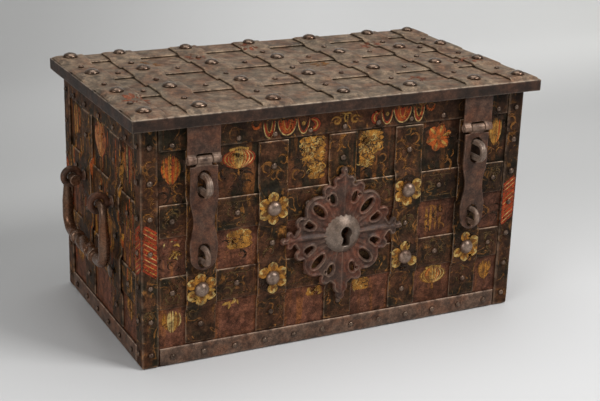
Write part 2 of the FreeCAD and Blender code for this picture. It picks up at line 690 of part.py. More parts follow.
# Bail handles: a bent rod through both eyes, with a turned grip
def bail(side):
    x = side * EYE_X
    z = UPPER_STRAP_Z
    low = z - BAIL_DROP
    k = 1 - math.sqrt(0.5)
    stub = SIDE_UPRIGHT_Y - BAIL_STUB
    edges = []

    def p(y, level):
        return Vector(x, y, level)

    a = BAIL_TOP_BEND
    b = BAIL_LOW_BEND
    arm = BAIL_ARM_Y
    edges.append(Part.makeLine(p(-stub, z), p(-arm + a, z)))
    edges.append(Part.Arc(p(-arm + a, z), p(-arm + a * k, z - a * k), p(-arm, z - a)).toShape())
    edges.append(Part.makeLine(p(-arm, z - a), p(-arm, low + b)))
    edges.append(Part.Arc(p(-arm, low + b), p(-arm + b * k, low + b * k), p(-arm + b, low)).toShape())
    edges.append(Part.makeLine(p(-arm + b, low), p(arm - b, low)))
    edges.append(Part.Arc(p(arm - b, low), p(arm - b * k, low + b * k), p(arm, low + b)).toShape())
    edges.append(Part.makeLine(p(arm, low + b), p(arm, z - a)))
    edges.append(Part.Arc(p(arm, z - a), p(arm - a * k, z - a * k), p(arm - a, z)).toShape())
    edges.append(Part.makeLine(p(arm - a, z), p(stub, z)))
    ring = Part.makeCircle(BAIL_ROD_R, p(-stub, z), Vector(0, 1, 0))
    body = Part.Wire(edges).makePipeShell([Part.Wire(ring)], True, True)
    pieces = [body]
    for end in (-1, 1):
        pieces.append(rod(BAIL_KNOB_R, p(end * stub, z), p(end * (stub - BAIL_KNOB_T), z)))
        ring_in = GRIP_L / 2 - GRIP_RING_T
        pieces.append(rod(GRIP_R, p(end * ring_in, low), p(end * GRIP_L / 2, low)))
    pieces.append(rod(GRIP_R - 2.5, p(-GRIP_L / 2, low), p(GRIP_L / 2, low)))
    belly = GRIP_L / 4
    pieces.append(rod(GRIP_R - 0.8, p(-belly, low), p(belly, low)))
    return fuse(pieces)


save("bail_left", [bail(-1)])
save("bail_right", [bail(1)])

# Lid lock, hung under the lid plate
PLATE_Z = LID_UNDER - LOCK_PLATE_T
BAR_TOP = PLATE_Z - BAR_GAP
BAR_LOW = BAR_TOP - BAR_T
LEVER_TOP = BAR_LOW - BAR_GAP
LEVER_LOW = LEVER_TOP - LEVER_T
PIN_LOW = LEVER_LOW + BAR_GAP
END_REST_X = open_x - BOLT_REST
FRONT_REST_Y = -open_y + BOLT_REST
END_BOLT_Y = 2 * REV_ARM
half_throw = THROW / 2
CRANK_SWING = math.degrees(math.atan(half_throw / CRANK_ARM))
REV_SWING = math.degrees(math.atan(half_throw / REV_ARM))
save("lock_plate", [box(-LOCK_PLATE_X, LOCK_PLATE_X, -LOCK_PLATE_FRONT, LOCK_PLATE_BACK, PLATE_Z, LID_UNDER)])


def drive_pin(x, y):
    return rod(DRIVE_PIN_R, Vector(x, y, PIN_LOW), Vector(x, y, BAR_LOW + 1))


crank_x = {"left": -FRONT_BOLT_X - CRANK_ARM, "right": FRONT_BOLT_X - CRANK_ARM}
slide_left = REV_FRONT_X - half_throw - 2 * BAR_HALF
cross_end = CROSSHEAD_X + CROSSHEAD_W
slide = [box(slide_left, cross_end, -BAR_HALF, BAR_HALF, BAR_LOW, BAR_TOP)]
slide.append(box(CROSSHEAD_X, cross_end, -END_BOLT_Y - BOLT_HALF, END_BOLT_Y + BOLT_HALF, BAR_LOW, BAR_TOP))
for side in (-1, 1):
    y = side * END_BOLT_Y
    slide.append(box(CROSSHEAD_X, END_REST_X, y - BOLT_HALF, y + BOLT_HALF, BAR_LOW, BAR_TOP))
for x in (crank_x["left"], crank_x["right"], REV_BACK_X, REV_FRONT_X):
    slide.append(drive_pin(x - half_throw, 0))
save("lock_main_slide", [fuse(slide)])


# A lever lying along +Y from its hub, with a long hole for the drive pin
def arm(length, angle):
    end = length + DRIVE_PIN_R * 3
    bar = box(-LEVER_W / 2, LEVER_W / 2, 0, end, LEVER_LOW, LEVER_TOP)
    width = DRIVE_PIN_R + SLOT_CLEAR
    low = length - 1
    high = length + 2
    hole = [box(-width, width, low, high, LEVER_LOW - 1, LEVER_TOP + 1)]
    for y in (low, high):
        hole.append(rod(width, Vector(0, y, LEVER_LOW - 1), Vector(0, y, LEVER_TOP + 1)))
    arm_body = bar.cut(fuse(hole))
    return turned(arm_body, angle, Vector(0, 0, 1), Vector(0, 0, 0))


def lever(length, angles, swing, x, y):
    hub = Part.makeCylinder(HUB_R, LEVER_T, Vector(0, 0, LEVER_LOW))
    body = fuse([hub] + [arm(length, a) for a in angles])
    stud_hole = Part.makeCylinder(STUD_R + PIN_CLEAR, LEVER_T + 2, Vector(0, 0, LEVER_LOW - 1))
    body = body.cut(stud_hole)
    return moved(turned(body, swing, Vector(0, 0, 1), Vector(0, 0, 0)), x, y, 0)


studs = []


def stud(x, y):
    shank = rod(STUD_R, Vector(x, y, LEVER_LOW - BAR_GAP), Vector(x, y, PLATE_Z))
    head_top = Vector(x, y, LEVER_LOW - BAR_GAP)
    head = rod(STUD_HEAD_R, head_top - Vector(0, 0, STUD_HEAD_T), head_top)
    return fuse([shank, head])


guides = []


def guide(x, y, half, along_x):
    inner = half + SLOT_CLEAR
    outer = inner + GUIDE_T
    low = BAR_LOW - SLOT_CLEAR
    body = box(-GUIDE_L / 2, GUIDE_L / 2, -outer, outer, low - GUIDE_FLOOR, PLATE_Z)
    body = body.cut(box(-GUIDE_L, GUIDE_L, -inner, inner, low, PLATE_Z + 1))
    if not along_x:
        body = turned(body, 90, Vector(0, 0, 1), Vector(0, 0, 0))
    guides.append(moved(body, x, y, 0))


for name in ("left", "right"):
    x = crank_x[name]
    save("crank_" + name, [lever(CRANK_ARM, (0, -90), CRANK_SWING, x, -CRANK_ARM)])
    studs.append(stud(x, -CRANK_ARM))
    bolt_x = x + CRANK_ARM
    pin_y = -CRANK_ARM + half_throw
    bolt = box(bolt_x - BOLT_HALF, bolt_x + BOLT_HALF, FRONT_REST_Y, pin_y + BOLT_HALF, BAR_LOW, BAR_TOP)
    save("front_bolt_" + name, [fuse([bolt, drive_pin(bolt_x, pin_y)])])
    guide(bolt_x, -LOCK_PLATE_FRONT + GUIDE_L, BOLT_HALF, False)
    guide(bolt_x, -LOCK_PLATE_FRONT + GUIDE_L * 7, BOLT_HALF, False)
for name, side, x in (("back", 1, REV_BACK_X), ("front", -1, REV_FRONT_X)):
    save("reversing_lever_" + name, [lever(REV_ARM, (0, 180), -side * REV_SWING, x, side * REV_ARM)])
    studs.append(stud(x, side * REV_ARM))
    pin_x = x + half_throw
    y = side * END_BOLT_Y
    bolt = box(-END_REST_X, pin_x + BOLT_HALF, y - BOLT_HALF, y + BOLT_HALF, BAR_LOW, BAR_TOP)
    save("end_bolt_" + name, [fuse([bolt, drive_pin(pin_x, y)])])
    guide(-LOCK_PLATE_X + GUIDE_L * 2, y, BOLT_HALF, True)
    guide(-LOCK_PLATE_X + GUIDE_L * 4.5, y, BOLT_HALF, True)
    guide(cross_end + THROW + GUIDE_L, y, BOLT_HALF, True)
guide(-FRONT_BOLT_X / 5, 0, BAR_HALF, True)
guide(CROSSHEAD_X - GUIDE_L * 8, 0, BAR_HALF, True)
save("lock_guides", guides)
save("lock_studs", studs)
print("hinge axis", AXIS_Y, AXIS_Z, "hasp axis", HASP_Y, HASP_AXIS_Z, "eye", EYE_X)
print("crank ratio", math.radians(2 * CRANK_SWING) / THROW * 1000)
print("reversing ratio", math.radians(2 * REV_SWING) / THROW * 1000)
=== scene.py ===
# %% [markdown]
# # A strap-bound iron chest with painted panels
# The chest is riveted from sheet iron, bound with woven straps and painted with folk flowers.
# The frame holds every solid at its real size, in metres. This lesson dresses it: forged iron with
# soft worn edges, set rivets, brush-stroke flowers and aged finishes. Forms are sized in
# millimetres, which MM turns to metres. Shaders, camera and stage use metres.

# %% Frame
import json
import math
import random

import bmesh
import bpy
import numpy as np
from mathutils import Matrix, Vector
from mathutils.bvhtree import BVHTree
from mathutils.kdtree import KDTree


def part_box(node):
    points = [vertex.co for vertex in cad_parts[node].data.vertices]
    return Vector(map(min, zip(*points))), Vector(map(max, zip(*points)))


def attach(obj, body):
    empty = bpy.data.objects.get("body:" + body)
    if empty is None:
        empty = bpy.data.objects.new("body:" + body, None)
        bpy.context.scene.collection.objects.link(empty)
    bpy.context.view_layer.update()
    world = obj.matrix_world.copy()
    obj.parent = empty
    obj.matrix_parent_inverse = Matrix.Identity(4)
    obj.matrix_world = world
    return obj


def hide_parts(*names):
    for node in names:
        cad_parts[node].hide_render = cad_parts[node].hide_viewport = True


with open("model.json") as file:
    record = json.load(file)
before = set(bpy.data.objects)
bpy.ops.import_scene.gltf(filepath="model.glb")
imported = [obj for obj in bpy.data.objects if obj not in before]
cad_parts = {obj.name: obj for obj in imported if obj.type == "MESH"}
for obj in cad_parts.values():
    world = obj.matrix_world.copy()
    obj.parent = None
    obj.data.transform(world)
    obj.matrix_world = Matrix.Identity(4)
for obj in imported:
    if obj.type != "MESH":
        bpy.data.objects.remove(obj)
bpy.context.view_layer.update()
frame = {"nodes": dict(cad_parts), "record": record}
MM = 0.001
BODIES = frame["record"]["behaviour"]["bodies"]
BODY_OF = {node: body for body, nodes in BODIES.items() for node in nodes}

# %% [markdown]
# ## Camera
# The view is from the left of the front, a little above the lid, with a long lens and a slight
# tilt. A matrix built from three angles keeps those facts readable, where a track-to constraint
# would hide the tilt.

# %% Camera
CAMERA_PLACE = Vector((-0.92082, -1.86442, 0.89900))
CAMERA_TURN = math.radians(26.8)
CAMERA_RISE = math.radians(19.4)
CAMERA_TILT = math.radians(1.73)
CAMERA_LENS, CAMERA_SENSOR = 79.555, 36


def new_object(name, data):
    made = bpy.data.objects.new(name, data)
    bpy.context.collection.objects.link(made)
    return made


def camera_matrix(place, turn, rise, tilt):
    back = Vector((-math.sin(turn) * math.cos(rise), -math.cos(turn) * math.cos(rise), math.sin(rise)))
    right = (-back).cross(Vector((0, 0, 1))).normalized()
    up = right.cross(-back)
    tilted_right = right * math.cos(tilt) + up * math.sin(tilt)
    tilted_up = up * math.cos(tilt) - right * math.sin(tilt)
    return Matrix.Translation(place) @ Matrix((tilted_right, tilted_up, back)).transposed().to_4x4()


camera = new_object("camera", bpy.data.cameras.new("camera"))
camera.data.lens = CAMERA_LENS
camera.data.sensor_width = CAMERA_SENSOR
camera.matrix_world = camera_matrix(CAMERA_PLACE, CAMERA_TURN, CAMERA_RISE, CAMERA_TILT)
scene = bpy.context.scene
scene.camera = camera
scene.view_settings.view_transform = "Standard"
print("camera", [round(v, 3) for v in camera.location])

# %% [markdown]
# ## Node helpers and colours
# A shader tree is a list of nodes and links. Small helpers add a node, set its constants and link
# its sockets, so each finish below reads as a recipe. Colours are written as they look on a screen
# and turned to the linear values that Blender works in.

# %% Node helpers
def tone(red, green, blue):
    linear = []
    for value in (red, green, blue):
        share = value / 255
        linear.append(share / 12.92 if share <= 0.04045 else ((share + 0.055) / 1.055) ** 2.4)
    return (*linear, 1.0)


def socket_of(sockets, key):
    if isinstance(key, int):
        return sockets[key]
    return next(s for s in sockets if s.name == key and s.enabled)


def add(tree, kind, values=None, **settings):
    made = tree.nodes.new(kind)
    for key, value in settings.items():
        setattr(made, key, value)
    for key, value in (values or {}).items():
        target = socket_of(made.inputs, key)
        if isinstance(value, bpy.types.NodeSocket):
            tree.links.new(value, target)
        else:
            target.default_value = value
    return made


def out(node, key=0):
    return socket_of(node.outputs, key)


print("middle grey in linear light", [round(value, 3) for value in tone(128, 128, 128)])


# %% Recipe helpers
def noise(tree, where, scale, detail=5.0, rough=0.6, swirl=0.0):
    values = {"Vector": where, "Scale": scale, "Detail": detail, "Roughness": rough, "Distortion": swirl}
    return out(add(tree, "ShaderNodeTexNoise", values))


def ramp(tree, value, low, high, start=0.0, end=1.0):
    """Turns values from low to high into values from start to end, with soft ends."""
    values = {"Value": value, "From Min": low, "From Max": high, "To Min": start, "To Max": end}
    return out(add(tree, "ShaderNodeMapRange", values, interpolation_type="SMOOTHSTEP"))


def maths(tree, operation, *terms, clamp=False):
    return out(add(tree, "ShaderNodeMath", dict(enumerate(terms)), operation=operation, use_clamp=clamp))


def blend(tree, share, first, second):
    values = {"Factor": share, "A": first, "B": second}
    return out(add(tree, "ShaderNodeMix", values, data_type="RGBA"), "Result")


def new_group(name, inputs, outputs):
    tree = bpy.data.node_groups.new(name, "ShaderNodeTree")
    for label, kind in inputs:
        tree.interface.new_socket(label, in_out="INPUT", socket_type="NodeSocket" + kind)
    for label, kind in outputs:
        tree.interface.new_socket(label, in_out="OUTPUT", socket_type="NodeSocket" + kind)
    return tree, tree.nodes.new("NodeGroupInput"), tree.nodes.new("NodeGroupOutput")


def new_material(name):
    material = bpy.data.materials.new(name)
    material.use_nodes = True
    return material, material.node_tree, material.node_tree.nodes["Principled BSDF"]


def object_place(tree):
    return out(add(tree, "ShaderNodeTexCoord"), "Object")


print("recipe helpers for noises, ramps, sums, blends, groups and materials")

# %% [markdown]
# ## Aged iron, one shared effect
# Three things age this chest: brown rust that comes in clouds, grime that darkens it in fine
# grain, and bare metal along edges that get rubbed. The edge input also carries a painted highlight
# on edges that face up. Polish makes a piece smoother and more metallic and takes the grime off.
# Each material could draw its own, but one group with named inputs keeps the scale of the grain
# the same on every piece.

# %% Aged iron values
# A ramp is two levels of a noise and then the two values that it gives there, if not 0 and 1.
CLOUD_SCALE, PATCH_SCALE, GRAIN_SCALE, PIT_SCALE = 26.0, 75.0, 260.0, 640.0
RUST_RAMP, RUB_RAMP = (0.42, 0.64), (0.30, 0.60)
PATCH_SHADE = (0.32, 0.68, 0.5, 1.4)
GRAIN_SHADE = (0.28, 0.74, 0.6, 1.4)
PIT_SHADE = (0.3, 0.7, 0.72, 1.28)
GRAIN_ROUGH = (0.2, 0.85, 0.46, 0.72)
POLISH_CLEANS, POLISH_METAL = 2.2, 2.0
RUB_SMOOTHS, RUB_METAL = 0.16, 0.6
PIT_HEIGHT = 0.25
print("pits about", round(1 / PIT_SCALE / MM, 1), "mm across")

# %% Aged iron group
AGED_IN = [("Where", "Vector"), ("Ground", "Color"), ("Rust", "Color"), ("Bare", "Color"),
           ("Rust Cover", "Float"), ("Edge", "Float"), ("Grain", "Float"), ("Polish", "Float")]
AGED_OUT = [("Color", "Color"), ("Roughness", "Float"), ("Metallic", "Float"), ("Height", "Float")]
aged, given, result = new_group("aged_iron", AGED_IN, AGED_OUT)
where, polish = out(given, "Where"), out(given, "Polish")
clouds = noise(aged, where, CLOUD_SCALE, detail=7.0, rough=0.62)
patches = noise(aged, where, PATCH_SCALE, detail=5.0, rough=0.65)
grain = noise(aged, where, GRAIN_SCALE, detail=4.0, rough=0.7)
pits = noise(aged, where, PIT_SCALE, detail=2.0, rough=0.5)
rust_share = maths(aged, "MULTIPLY", ramp(aged, clouds, *RUST_RAMP), out(given, "Rust Cover"), clamp=True)
rusted = blend(aged, rust_share, out(given, "Ground"), out(given, "Rust"))
shade = maths(aged, "MULTIPLY", ramp(aged, patches, *PATCH_SHADE), ramp(aged, grain, *GRAIN_SHADE))
shade = maths(aged, "MULTIPLY", shade, ramp(aged, pits, *PIT_SHADE))
clean = maths(aged, "MULTIPLY", polish, POLISH_CLEANS, clamp=True)
grime = maths(aged, "SUBTRACT", 1.0, clean, clamp=True)
shade = maths(aged, "MULTIPLY_ADD", maths(aged, "SUBTRACT", shade, 1.0), grime, 1.0)
shaded = out(add(aged, "ShaderNodeVectorMath", {0: rusted, "Scale": shade}, operation="SCALE"))
# The edge input is rubbed wear plus a painted highlight on edges that face up; both turn bare and bright.
rub_and_highlight = maths(aged, "MULTIPLY", out(given, "Edge"), ramp(aged, patches, *RUB_RAMP), clamp=True)
colour = blend(aged, rub_and_highlight, shaded, out(given, "Bare"))
worn = maths(aged, "MULTIPLY_ADD", rub_and_highlight, RUB_SMOOTHS, polish)
rough = maths(aged, "SUBTRACT", ramp(aged, grain, *GRAIN_ROUGH), worn)
rub_metal = maths(aged, "MULTIPLY", rub_and_highlight, RUB_METAL)
metal = maths(aged, "MULTIPLY_ADD", polish, POLISH_METAL, rub_metal, clamp=True)
height = maths(aged, "MULTIPLY_ADD", grain, out(given, "Grain"), maths(aged, "MULTIPLY", pits, PIT_HEIGHT))
for (label, _), socket in zip(AGED_OUT, (colour, rough, metal, height)):
    aged.links.new(socket, result.inputs[label])
print("aged iron group", len(aged.nodes), "nodes")

# %% [markdown]
# ## Finishes
# Paint covers the walls and straps, bare forged iron makes the lid, hasps and staples. Every
# finish is the same recipe with its own ground, rust and rubbed colours. The walls alone change
# with height: green-black in the top row of panels, red-brown below, as old ground coats do. Walls
# and straps also have runs of old paint and thin vines, and a painted shade darkens the right third
# of the front.

# %% Coat helpers
COAT_SCALE, COAT_RAMP, COAT_BLUR = 14.0, (0.36, 0.56), 0.3
RUN_STRETCH, RUN_RAMP = (80.0, 80.0, 9.0), (0.52, 0.68, 0.0, 0.6)
VINE_SCALE, VINE_SWIRL, VINE_LINE = 34.0, 1.6, (0.012, 0.034, 1.0, 0.0)
VINE_GAP_SCALE, VINE_GAPS = 55.0, (0.40, 0.60, 0.0, 0.75)
# Where the front's painted shade lies, by X, Y and Z, and how much it darkens low and high.
PAINTED_SHADE_X, PAINTED_SHADE_Y, PAINTED_SHADE_Z, PAINTED_SHADE_COVER = (0.12, 0.2), (-0.17, -0.13), (0.12, 0.24), (0.3, 0.5)


def coordinate(tree, place, axis):
    return out(add(tree, "ShaderNodeSeparateXYZ", {"Vector": place}), axis)


def top_coat(tree, place, split):
    """Where the top coat still hides the one below it: in patches, and above the split if there is one."""
    share = ramp(tree, noise(tree, place, COAT_SCALE, detail=4.0), *COAT_RAMP)
    if split:
        above = ramp(tree, coordinate(tree, place, "Z"), *split)
        share = maths(tree, "MULTIPLY_ADD", share, COAT_BLUR, above, clamp=True)
    return share


def paint_runs(tree, place):
    """A noise that is pulled long, like paint that ran down."""
    pulled = out(add(tree, "ShaderNodeMapping", {"Vector": place, "Scale": RUN_STRETCH}))
    return ramp(tree, noise(tree, pulled, 1.0, detail=4.0), *RUN_RAMP)


def vines(tree, place):
    """Contour lines of a swirled noise: they curl like the vines that a painter runs along a strap."""
    level = noise(tree, place, VINE_SCALE, detail=1.0, rough=0.4, swirl=VINE_SWIRL)
    away = maths(tree, "ABSOLUTE", maths(tree, "SUBTRACT", level, 0.5))
    gaps = ramp(tree, noise(tree, place, VINE_GAP_SCALE, detail=3.0), *VINE_GAPS)
    return maths(tree, "MULTIPLY", ramp(tree, away, *VINE_LINE), gaps)


def painted_shade_share(tree, place):
    """Painted shade that darkens the right third of the front, most of all high up."""
    side = ramp(tree, coordinate(tree, place, "X"), *PAINTED_SHADE_X)
    front = ramp(tree, coordinate(tree, place, "Y"), *PAINTED_SHADE_Y, 1.0, 0.0)
    high = ramp(tree, coordinate(tree, place, "Z"), *PAINTED_SHADE_Z, *PAINTED_SHADE_COVER)
    return maths(tree, "MULTIPLY", maths(tree, "MULTIPLY", side, front), high)


# In this print, soot is the painted shade on the right of the front.
print("coats: top coat, runs, vines and soot")

# %% Finish recipe
# A near-black tone for the painted shade on the right third of the front.
PAINTED_SHADE_TONE = tone(20, 16, 11)
BUMP_STRENGTH, BUMP_DEPTH = 0.7, 0.0007
FINISHES = {}


def finish(name, ground, rust, bare, cover, grain=0.8, polish=0.0, gloss=0.28,
           second=None, split=None, run=None, vine=None, sooty=False):
    material, tree, shader = new_material(name)
    place = object_place(tree)
    if second:
        ground = blend(tree, top_coat(tree, place, split), second, ground)
    if run:
        ground = blend(tree, paint_runs(tree, place), ground, run)
    if vine:
        ground = blend(tree, vines(tree, place), ground, vine)
    # Painted shade: the right third of the front is darkened towards a near-black tone, ground and rust
    # alike.
    if sooty:
        share = painted_shade_share(tree, place)
        ground = blend(tree, share, ground, PAINTED_SHADE_TONE)
        rust = blend(tree, share, rust, PAINTED_SHADE_TONE)
    # The edge attribute holds rubbed wear and, where an edge faces up, a painted highlight.
    edge = out(add(tree, "ShaderNodeAttribute", attribute_name="edge"), "Fac")
    values = {"Where": place, "Ground": ground, "Rust": rust, "Bare": bare, "Rust Cover": cover,
              "Edge": edge, "Grain": grain, "Polish": polish}
    group = add(tree, "ShaderNodeGroup", values, node_tree=aged)
    relief = {"Strength": BUMP_STRENGTH, "Distance": BUMP_DEPTH, "Height": out(group, "Height")}
    tree.links.new(out(add(tree, "ShaderNodeBump", relief)), shader.inputs["Normal"])
    tree.links.new(out(group, "Color"), shader.inputs["Base Color"])
    for label in ("Roughness", "Metallic"):
        tree.links.new(out(group, label), shader.inputs[label])
    shader.inputs["Specular IOR Level"].default_value = gloss
    FINISHES[name] = material


print("relief", BUMP_DEPTH / MM, "mm deep")

# %% Finishes
GREEN_BLACK, RED_BROWN, DARK_BROWN = tone(39, 33, 21), tone(106, 66, 50), tone(66, 41, 26)
OLD_OCHRE, VINE_OCHRE, VINE_BROWN = tone(130, 78, 36), tone(142, 94, 44), tone(54, 36, 22)
PAINT_GLOSS = 0.1
WALL_SPLIT = (0.225, 0.262)
finish("painted_sheet", GREEN_BLACK, tone(100, 60, 40), tone(140, 116, 94), 0.7,
       gloss=PAINT_GLOSS, second=RED_BROWN, split=WALL_SPLIT, run=OLD_OCHRE, vine=VINE_BROWN, sooty=True)
finish("painted_strap", GREEN_BLACK, tone(84, 52, 34), tone(210, 178, 150), 0.62, grain=0.9,
       gloss=PAINT_GLOSS, second=DARK_BROWN, run=tone(86, 53, 31), vine=VINE_OCHRE, sooty=True)
finish("banding", tone(91, 69, 55), tone(100, 65, 45), tone(212, 184, 160), 0.8)
finish("lid_iron", tone(117, 98, 79), tone(100, 70, 50), tone(172, 150, 125), 0.85, grain=1.0,
       second=tone(96, 82, 66))
finish("lid_rim", tone(44, 31, 23), tone(70, 46, 33), tone(206, 184, 162), 0.85, polish=0.06)
finish("rivet_iron", tone(66, 49, 38), tone(84, 54, 37), tone(150, 128, 110), 0.8, polish=0.2)
finish("lid_dome", tone(78, 60, 48), tone(92, 62, 44), tone(158, 138, 120), 0.7, grain=0.5, polish=0.3)
finish("dome_iron", tone(100, 78, 64), tone(100, 66, 46), tone(172, 152, 136), 0.7, polish=0.18)
finish("forged_iron", tone(76, 54, 42), tone(94, 57, 38), tone(172, 146, 126), 0.85, polish=0.05)
finish("plate_iron", tone(74, 54, 44), tone(110, 58, 37), tone(160, 134, 114), 0.7, polish=0.06)
finish("rubbed_iron", tone(132, 112, 98), tone(112, 78, 56), tone(196, 182, 168), 0.7, polish=0.15)
finish("bail_iron", tone(104, 80, 64), tone(108, 70, 47), tone(196, 176, 156), 0.8, grain=0.5, polish=0.3)
finish("boss_iron", tone(122, 106, 94), tone(98, 76, 60), tone(180, 168, 156), 0.6, polish=0.2)
finish("lock_iron", tone(122, 112, 102), tone(104, 80, 62), tone(190, 182, 172), 0.5, grain=0.6, polish=0.12)
finish("lock_sheet", tone(72, 62, 54), tone(92, 64, 46), tone(150, 136, 124), 0.8)
print("finishes", sorted(FINISHES))

# %% [markdown]
# ## Forged iron
# Straps, bands and fittings were hammered by hand: their edges are round and their faces slightly
# wavy. A bevel would round every edge alike, so each solid is copied, welded, remeshed into small
# even cells, smoothed and dented inwards by a noise. Where the result bulges, an attribute
# remembers the edge, and the finish rubs it bright there. Edges that face up get more of it, as a
# painted highlight.

# %% Forging helpers
WELD = 1e-5
SOFTEN, SOFTEN_ROUNDS = 0.5, 3


def rework(mesh, change):
    """Opens a mesh for editing, lets a function change it, and writes it back."""
    work = bmesh.new()
    work.from_mesh(mesh)
    change(work)
    work.to_mesh(mesh)
    work.free()


def welded_copy(node):
    mesh = frame["nodes"][node].data.copy()
    rework(mesh, lambda work: bmesh.ops.remove_doubles(work, verts=work.verts, dist=WELD))
    mesh.materials.clear()
    return mesh


def add_block(mesh, low, high):
    def fill(work):
        for vert in bmesh.ops.create_cube(work, size=1.0)["verts"]:
            vert.co = [(a + b) / 2 * MM + c * (b - a) * MM for a, b, c in zip(low, high, vert.co)]

    rework(mesh, fill)


def dent_texture(name, size):
    texture = bpy.data.textures.new(name, "CLOUDS")
    texture.noise_scale = size
    texture.noise_depth = 2
    return texture


DENTS = ((dent_texture("broad_dents", 0.030), 1.0), (dent_texture("fine_dents", 0.009), 0.45))


def settled(work):
    """The plain mesh that an object's modifiers give. The object itself is removed."""
    bpy.context.view_layer.update()
    evaluated = work.evaluated_get(bpy.context.evaluated_depsgraph_get())
    mesh = bpy.data.meshes.new_from_object(evaluated)
    bpy.data.objects.remove(work, do_unlink=True)
    return mesh


def forged_mesh(node, cell, dent, block=None):
    mesh = welded_copy(node)
    if block:
        add_block(mesh, *block)
    work = new_object(node + ".work", mesh)
    remesh = work.modifiers.new("cells", "REMESH")
    remesh.mode = "VOXEL"
    remesh.voxel_size = cell * MM
    smooth = work.modifiers.new("soften", "SMOOTH")
    smooth.factor = SOFTEN
    smooth.iterations = SOFTEN_ROUNDS
    for texture, share in DENTS:
        dents = work.modifiers.new("dents", "DISPLACE")
        dents.texture = texture
        dents.texture_coords = "LOCAL"
        dents.mid_level = 1.0
        dents.strength = dent * share * MM
    return settled(work)


print("dent textures", [texture.name for texture, _ in DENTS])

# %% Edge wear
EDGE_FLAT, EDGE_GAIN, EDGE_SIDE, UP_HIGHLIGHT = 0.05, 2.6, 0.6, 1.1
BARREL_Y, BARREL_Z, BARREL_REACH, BARREL_RUB = -193.5, 322.0, 9.5, 0.5


def points_and_normals(mesh):
    for source, label in ((mesh.vertices, "co"), (mesh.vertex_normals, "vector")):
        values = np.empty(len(mesh.vertices) * 3)
        source.foreach_get(label, values)
        yield values.reshape(-1, 3)


def mark_edges(mesh, gain=EDGE_GAIN):
    """Stores how far each point bulges out from its neighbours, as rubbed wear, raised where it faces up for
    a painted highlight.
    """
    place, normal = points_and_normals(mesh)
    pairs = np.empty(len(mesh.edges) * 2, dtype=np.int64)
    mesh.edges.foreach_get("vertices", pairs)
    first, last = pairs.reshape(-1, 2).T
    way = place[last] - place[first]
    way /= np.linalg.norm(way, axis=1, keepdims=True) + 1e-12
    total = len(place)
    bulge = np.bincount(first, -(normal[first] * way).sum(1), total)
    bulge += np.bincount(last, (normal[last] * way).sum(1), total)
    bulge /= np.maximum(np.bincount(pairs, minlength=total), 1)
    # Painted highlight: an edge that faces up is brightened more, as if lit from above.
    reach = EDGE_SIDE + UP_HIGHLIGHT * np.clip(normal[:, 2], 0, 1)
    edge = np.clip((bulge - EDGE_FLAT) * gain * reach, 0, 1)
    mesh.attributes.new("edge", "FLOAT", "POINT").data.foreach_set("value", edge.astype(np.float32))


def rub_barrel(mesh):
    """Brightens the whole barrel that a hasp turns on."""
    place, _ = points_and_normals(mesh)
    away = np.hypot(place[:, 1] / MM - BARREL_Y, place[:, 2] / MM - BARREL_Z)
    edge = np.empty(len(place), dtype=np.float32)
    mesh.attributes["edge"].data.foreach_get("value", edge)
    edge = np.maximum(edge, BARREL_RUB * (away < BARREL_REACH)).astype(np.float32)
    mesh.attributes["edge"].data.foreach_set("value", edge)


def place_piece(name, mesh, node, look):
    mesh.materials.clear()
    mesh.materials.append(FINISHES[look])
    mesh.polygons.foreach_set("use_smooth", [True] * len(mesh.polygons))
    piece = new_object(name, mesh)
    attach(piece, BODY_OF[node])
    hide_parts(node)
    return piece


print("hasp barrel at y", BARREL_Y, "z", BARREL_Z, "mm")

# %% [markdown]
# ## Hammered forms
# Some forged pieces have more shape than their solids: lid straps that thin out at their ends,
# bails with a rope twist in the grip, staples with two grooves. A sculpted copy would work too, but
# a move of each point by a formula stays exact when the solid's size changes.

# %% Lid straps
FEATHER, THIN_END = 13.0, 0.06
OUTER_EASE, OUTER_TOP, HUMP_TOP = 18.0, 4.7, 13.0
LID_LOW, LID_HIGH = ([v / MM for v in corner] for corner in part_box("lid_plate"))


def move_points(mesh, place):
    mesh.vertices.foreach_set("co", place.ravel())
    mesh.update()


def ease(share):
    return share * share * (3 - 2 * share)


def feather_ends(mesh):
    """Hammers strap ends thin and the end straps' outer edges flat, so the lid's outline runs straight."""
    place, _ = points_and_normals(mesh)
    base = LID_HIGH[2] * MM
    for end, way in ((LID_LOW[1], 1), (LID_HIGH[1], -1)):
        share = np.clip((place[:, 1] / MM - end) * way / FEATHER, 0, 1)
        place[:, 2] = base + (place[:, 2] - base) * (THIN_END + (1 - THIN_END) * ease(share))
    inset = np.clip((LID_HIGH[0] - np.abs(place[:, 0]) / MM) / OUTER_EASE, 0, 1)
    limit = OUTER_TOP + (HUMP_TOP - OUTER_TOP) * ease(inset)
    place[:, 2] = np.minimum(place[:, 2], base + limit * MM)
    move_points(mesh, place)


print("lid plate", [round(a - b, 1) for a, b in zip(LID_HIGH, LID_LOW)], "mm")

# %% Bails and staples
GRIP_R, GRIP_HALF, KNOB_R = 12.0, 37.0, 9.0
TWIST_STARTS, TWIST_PITCH, TWIST_DEPTH = 3, 36.0, 2.2
ARM_SWELL, ARM_EASE, COLLAR_GAP, COLLAR_EASE = 2.5, 24.0, 12.0, 8.0
REED_OFFSET, REED_WIDTH, REED_DEPTH = 2.1, 0.9, 1.0


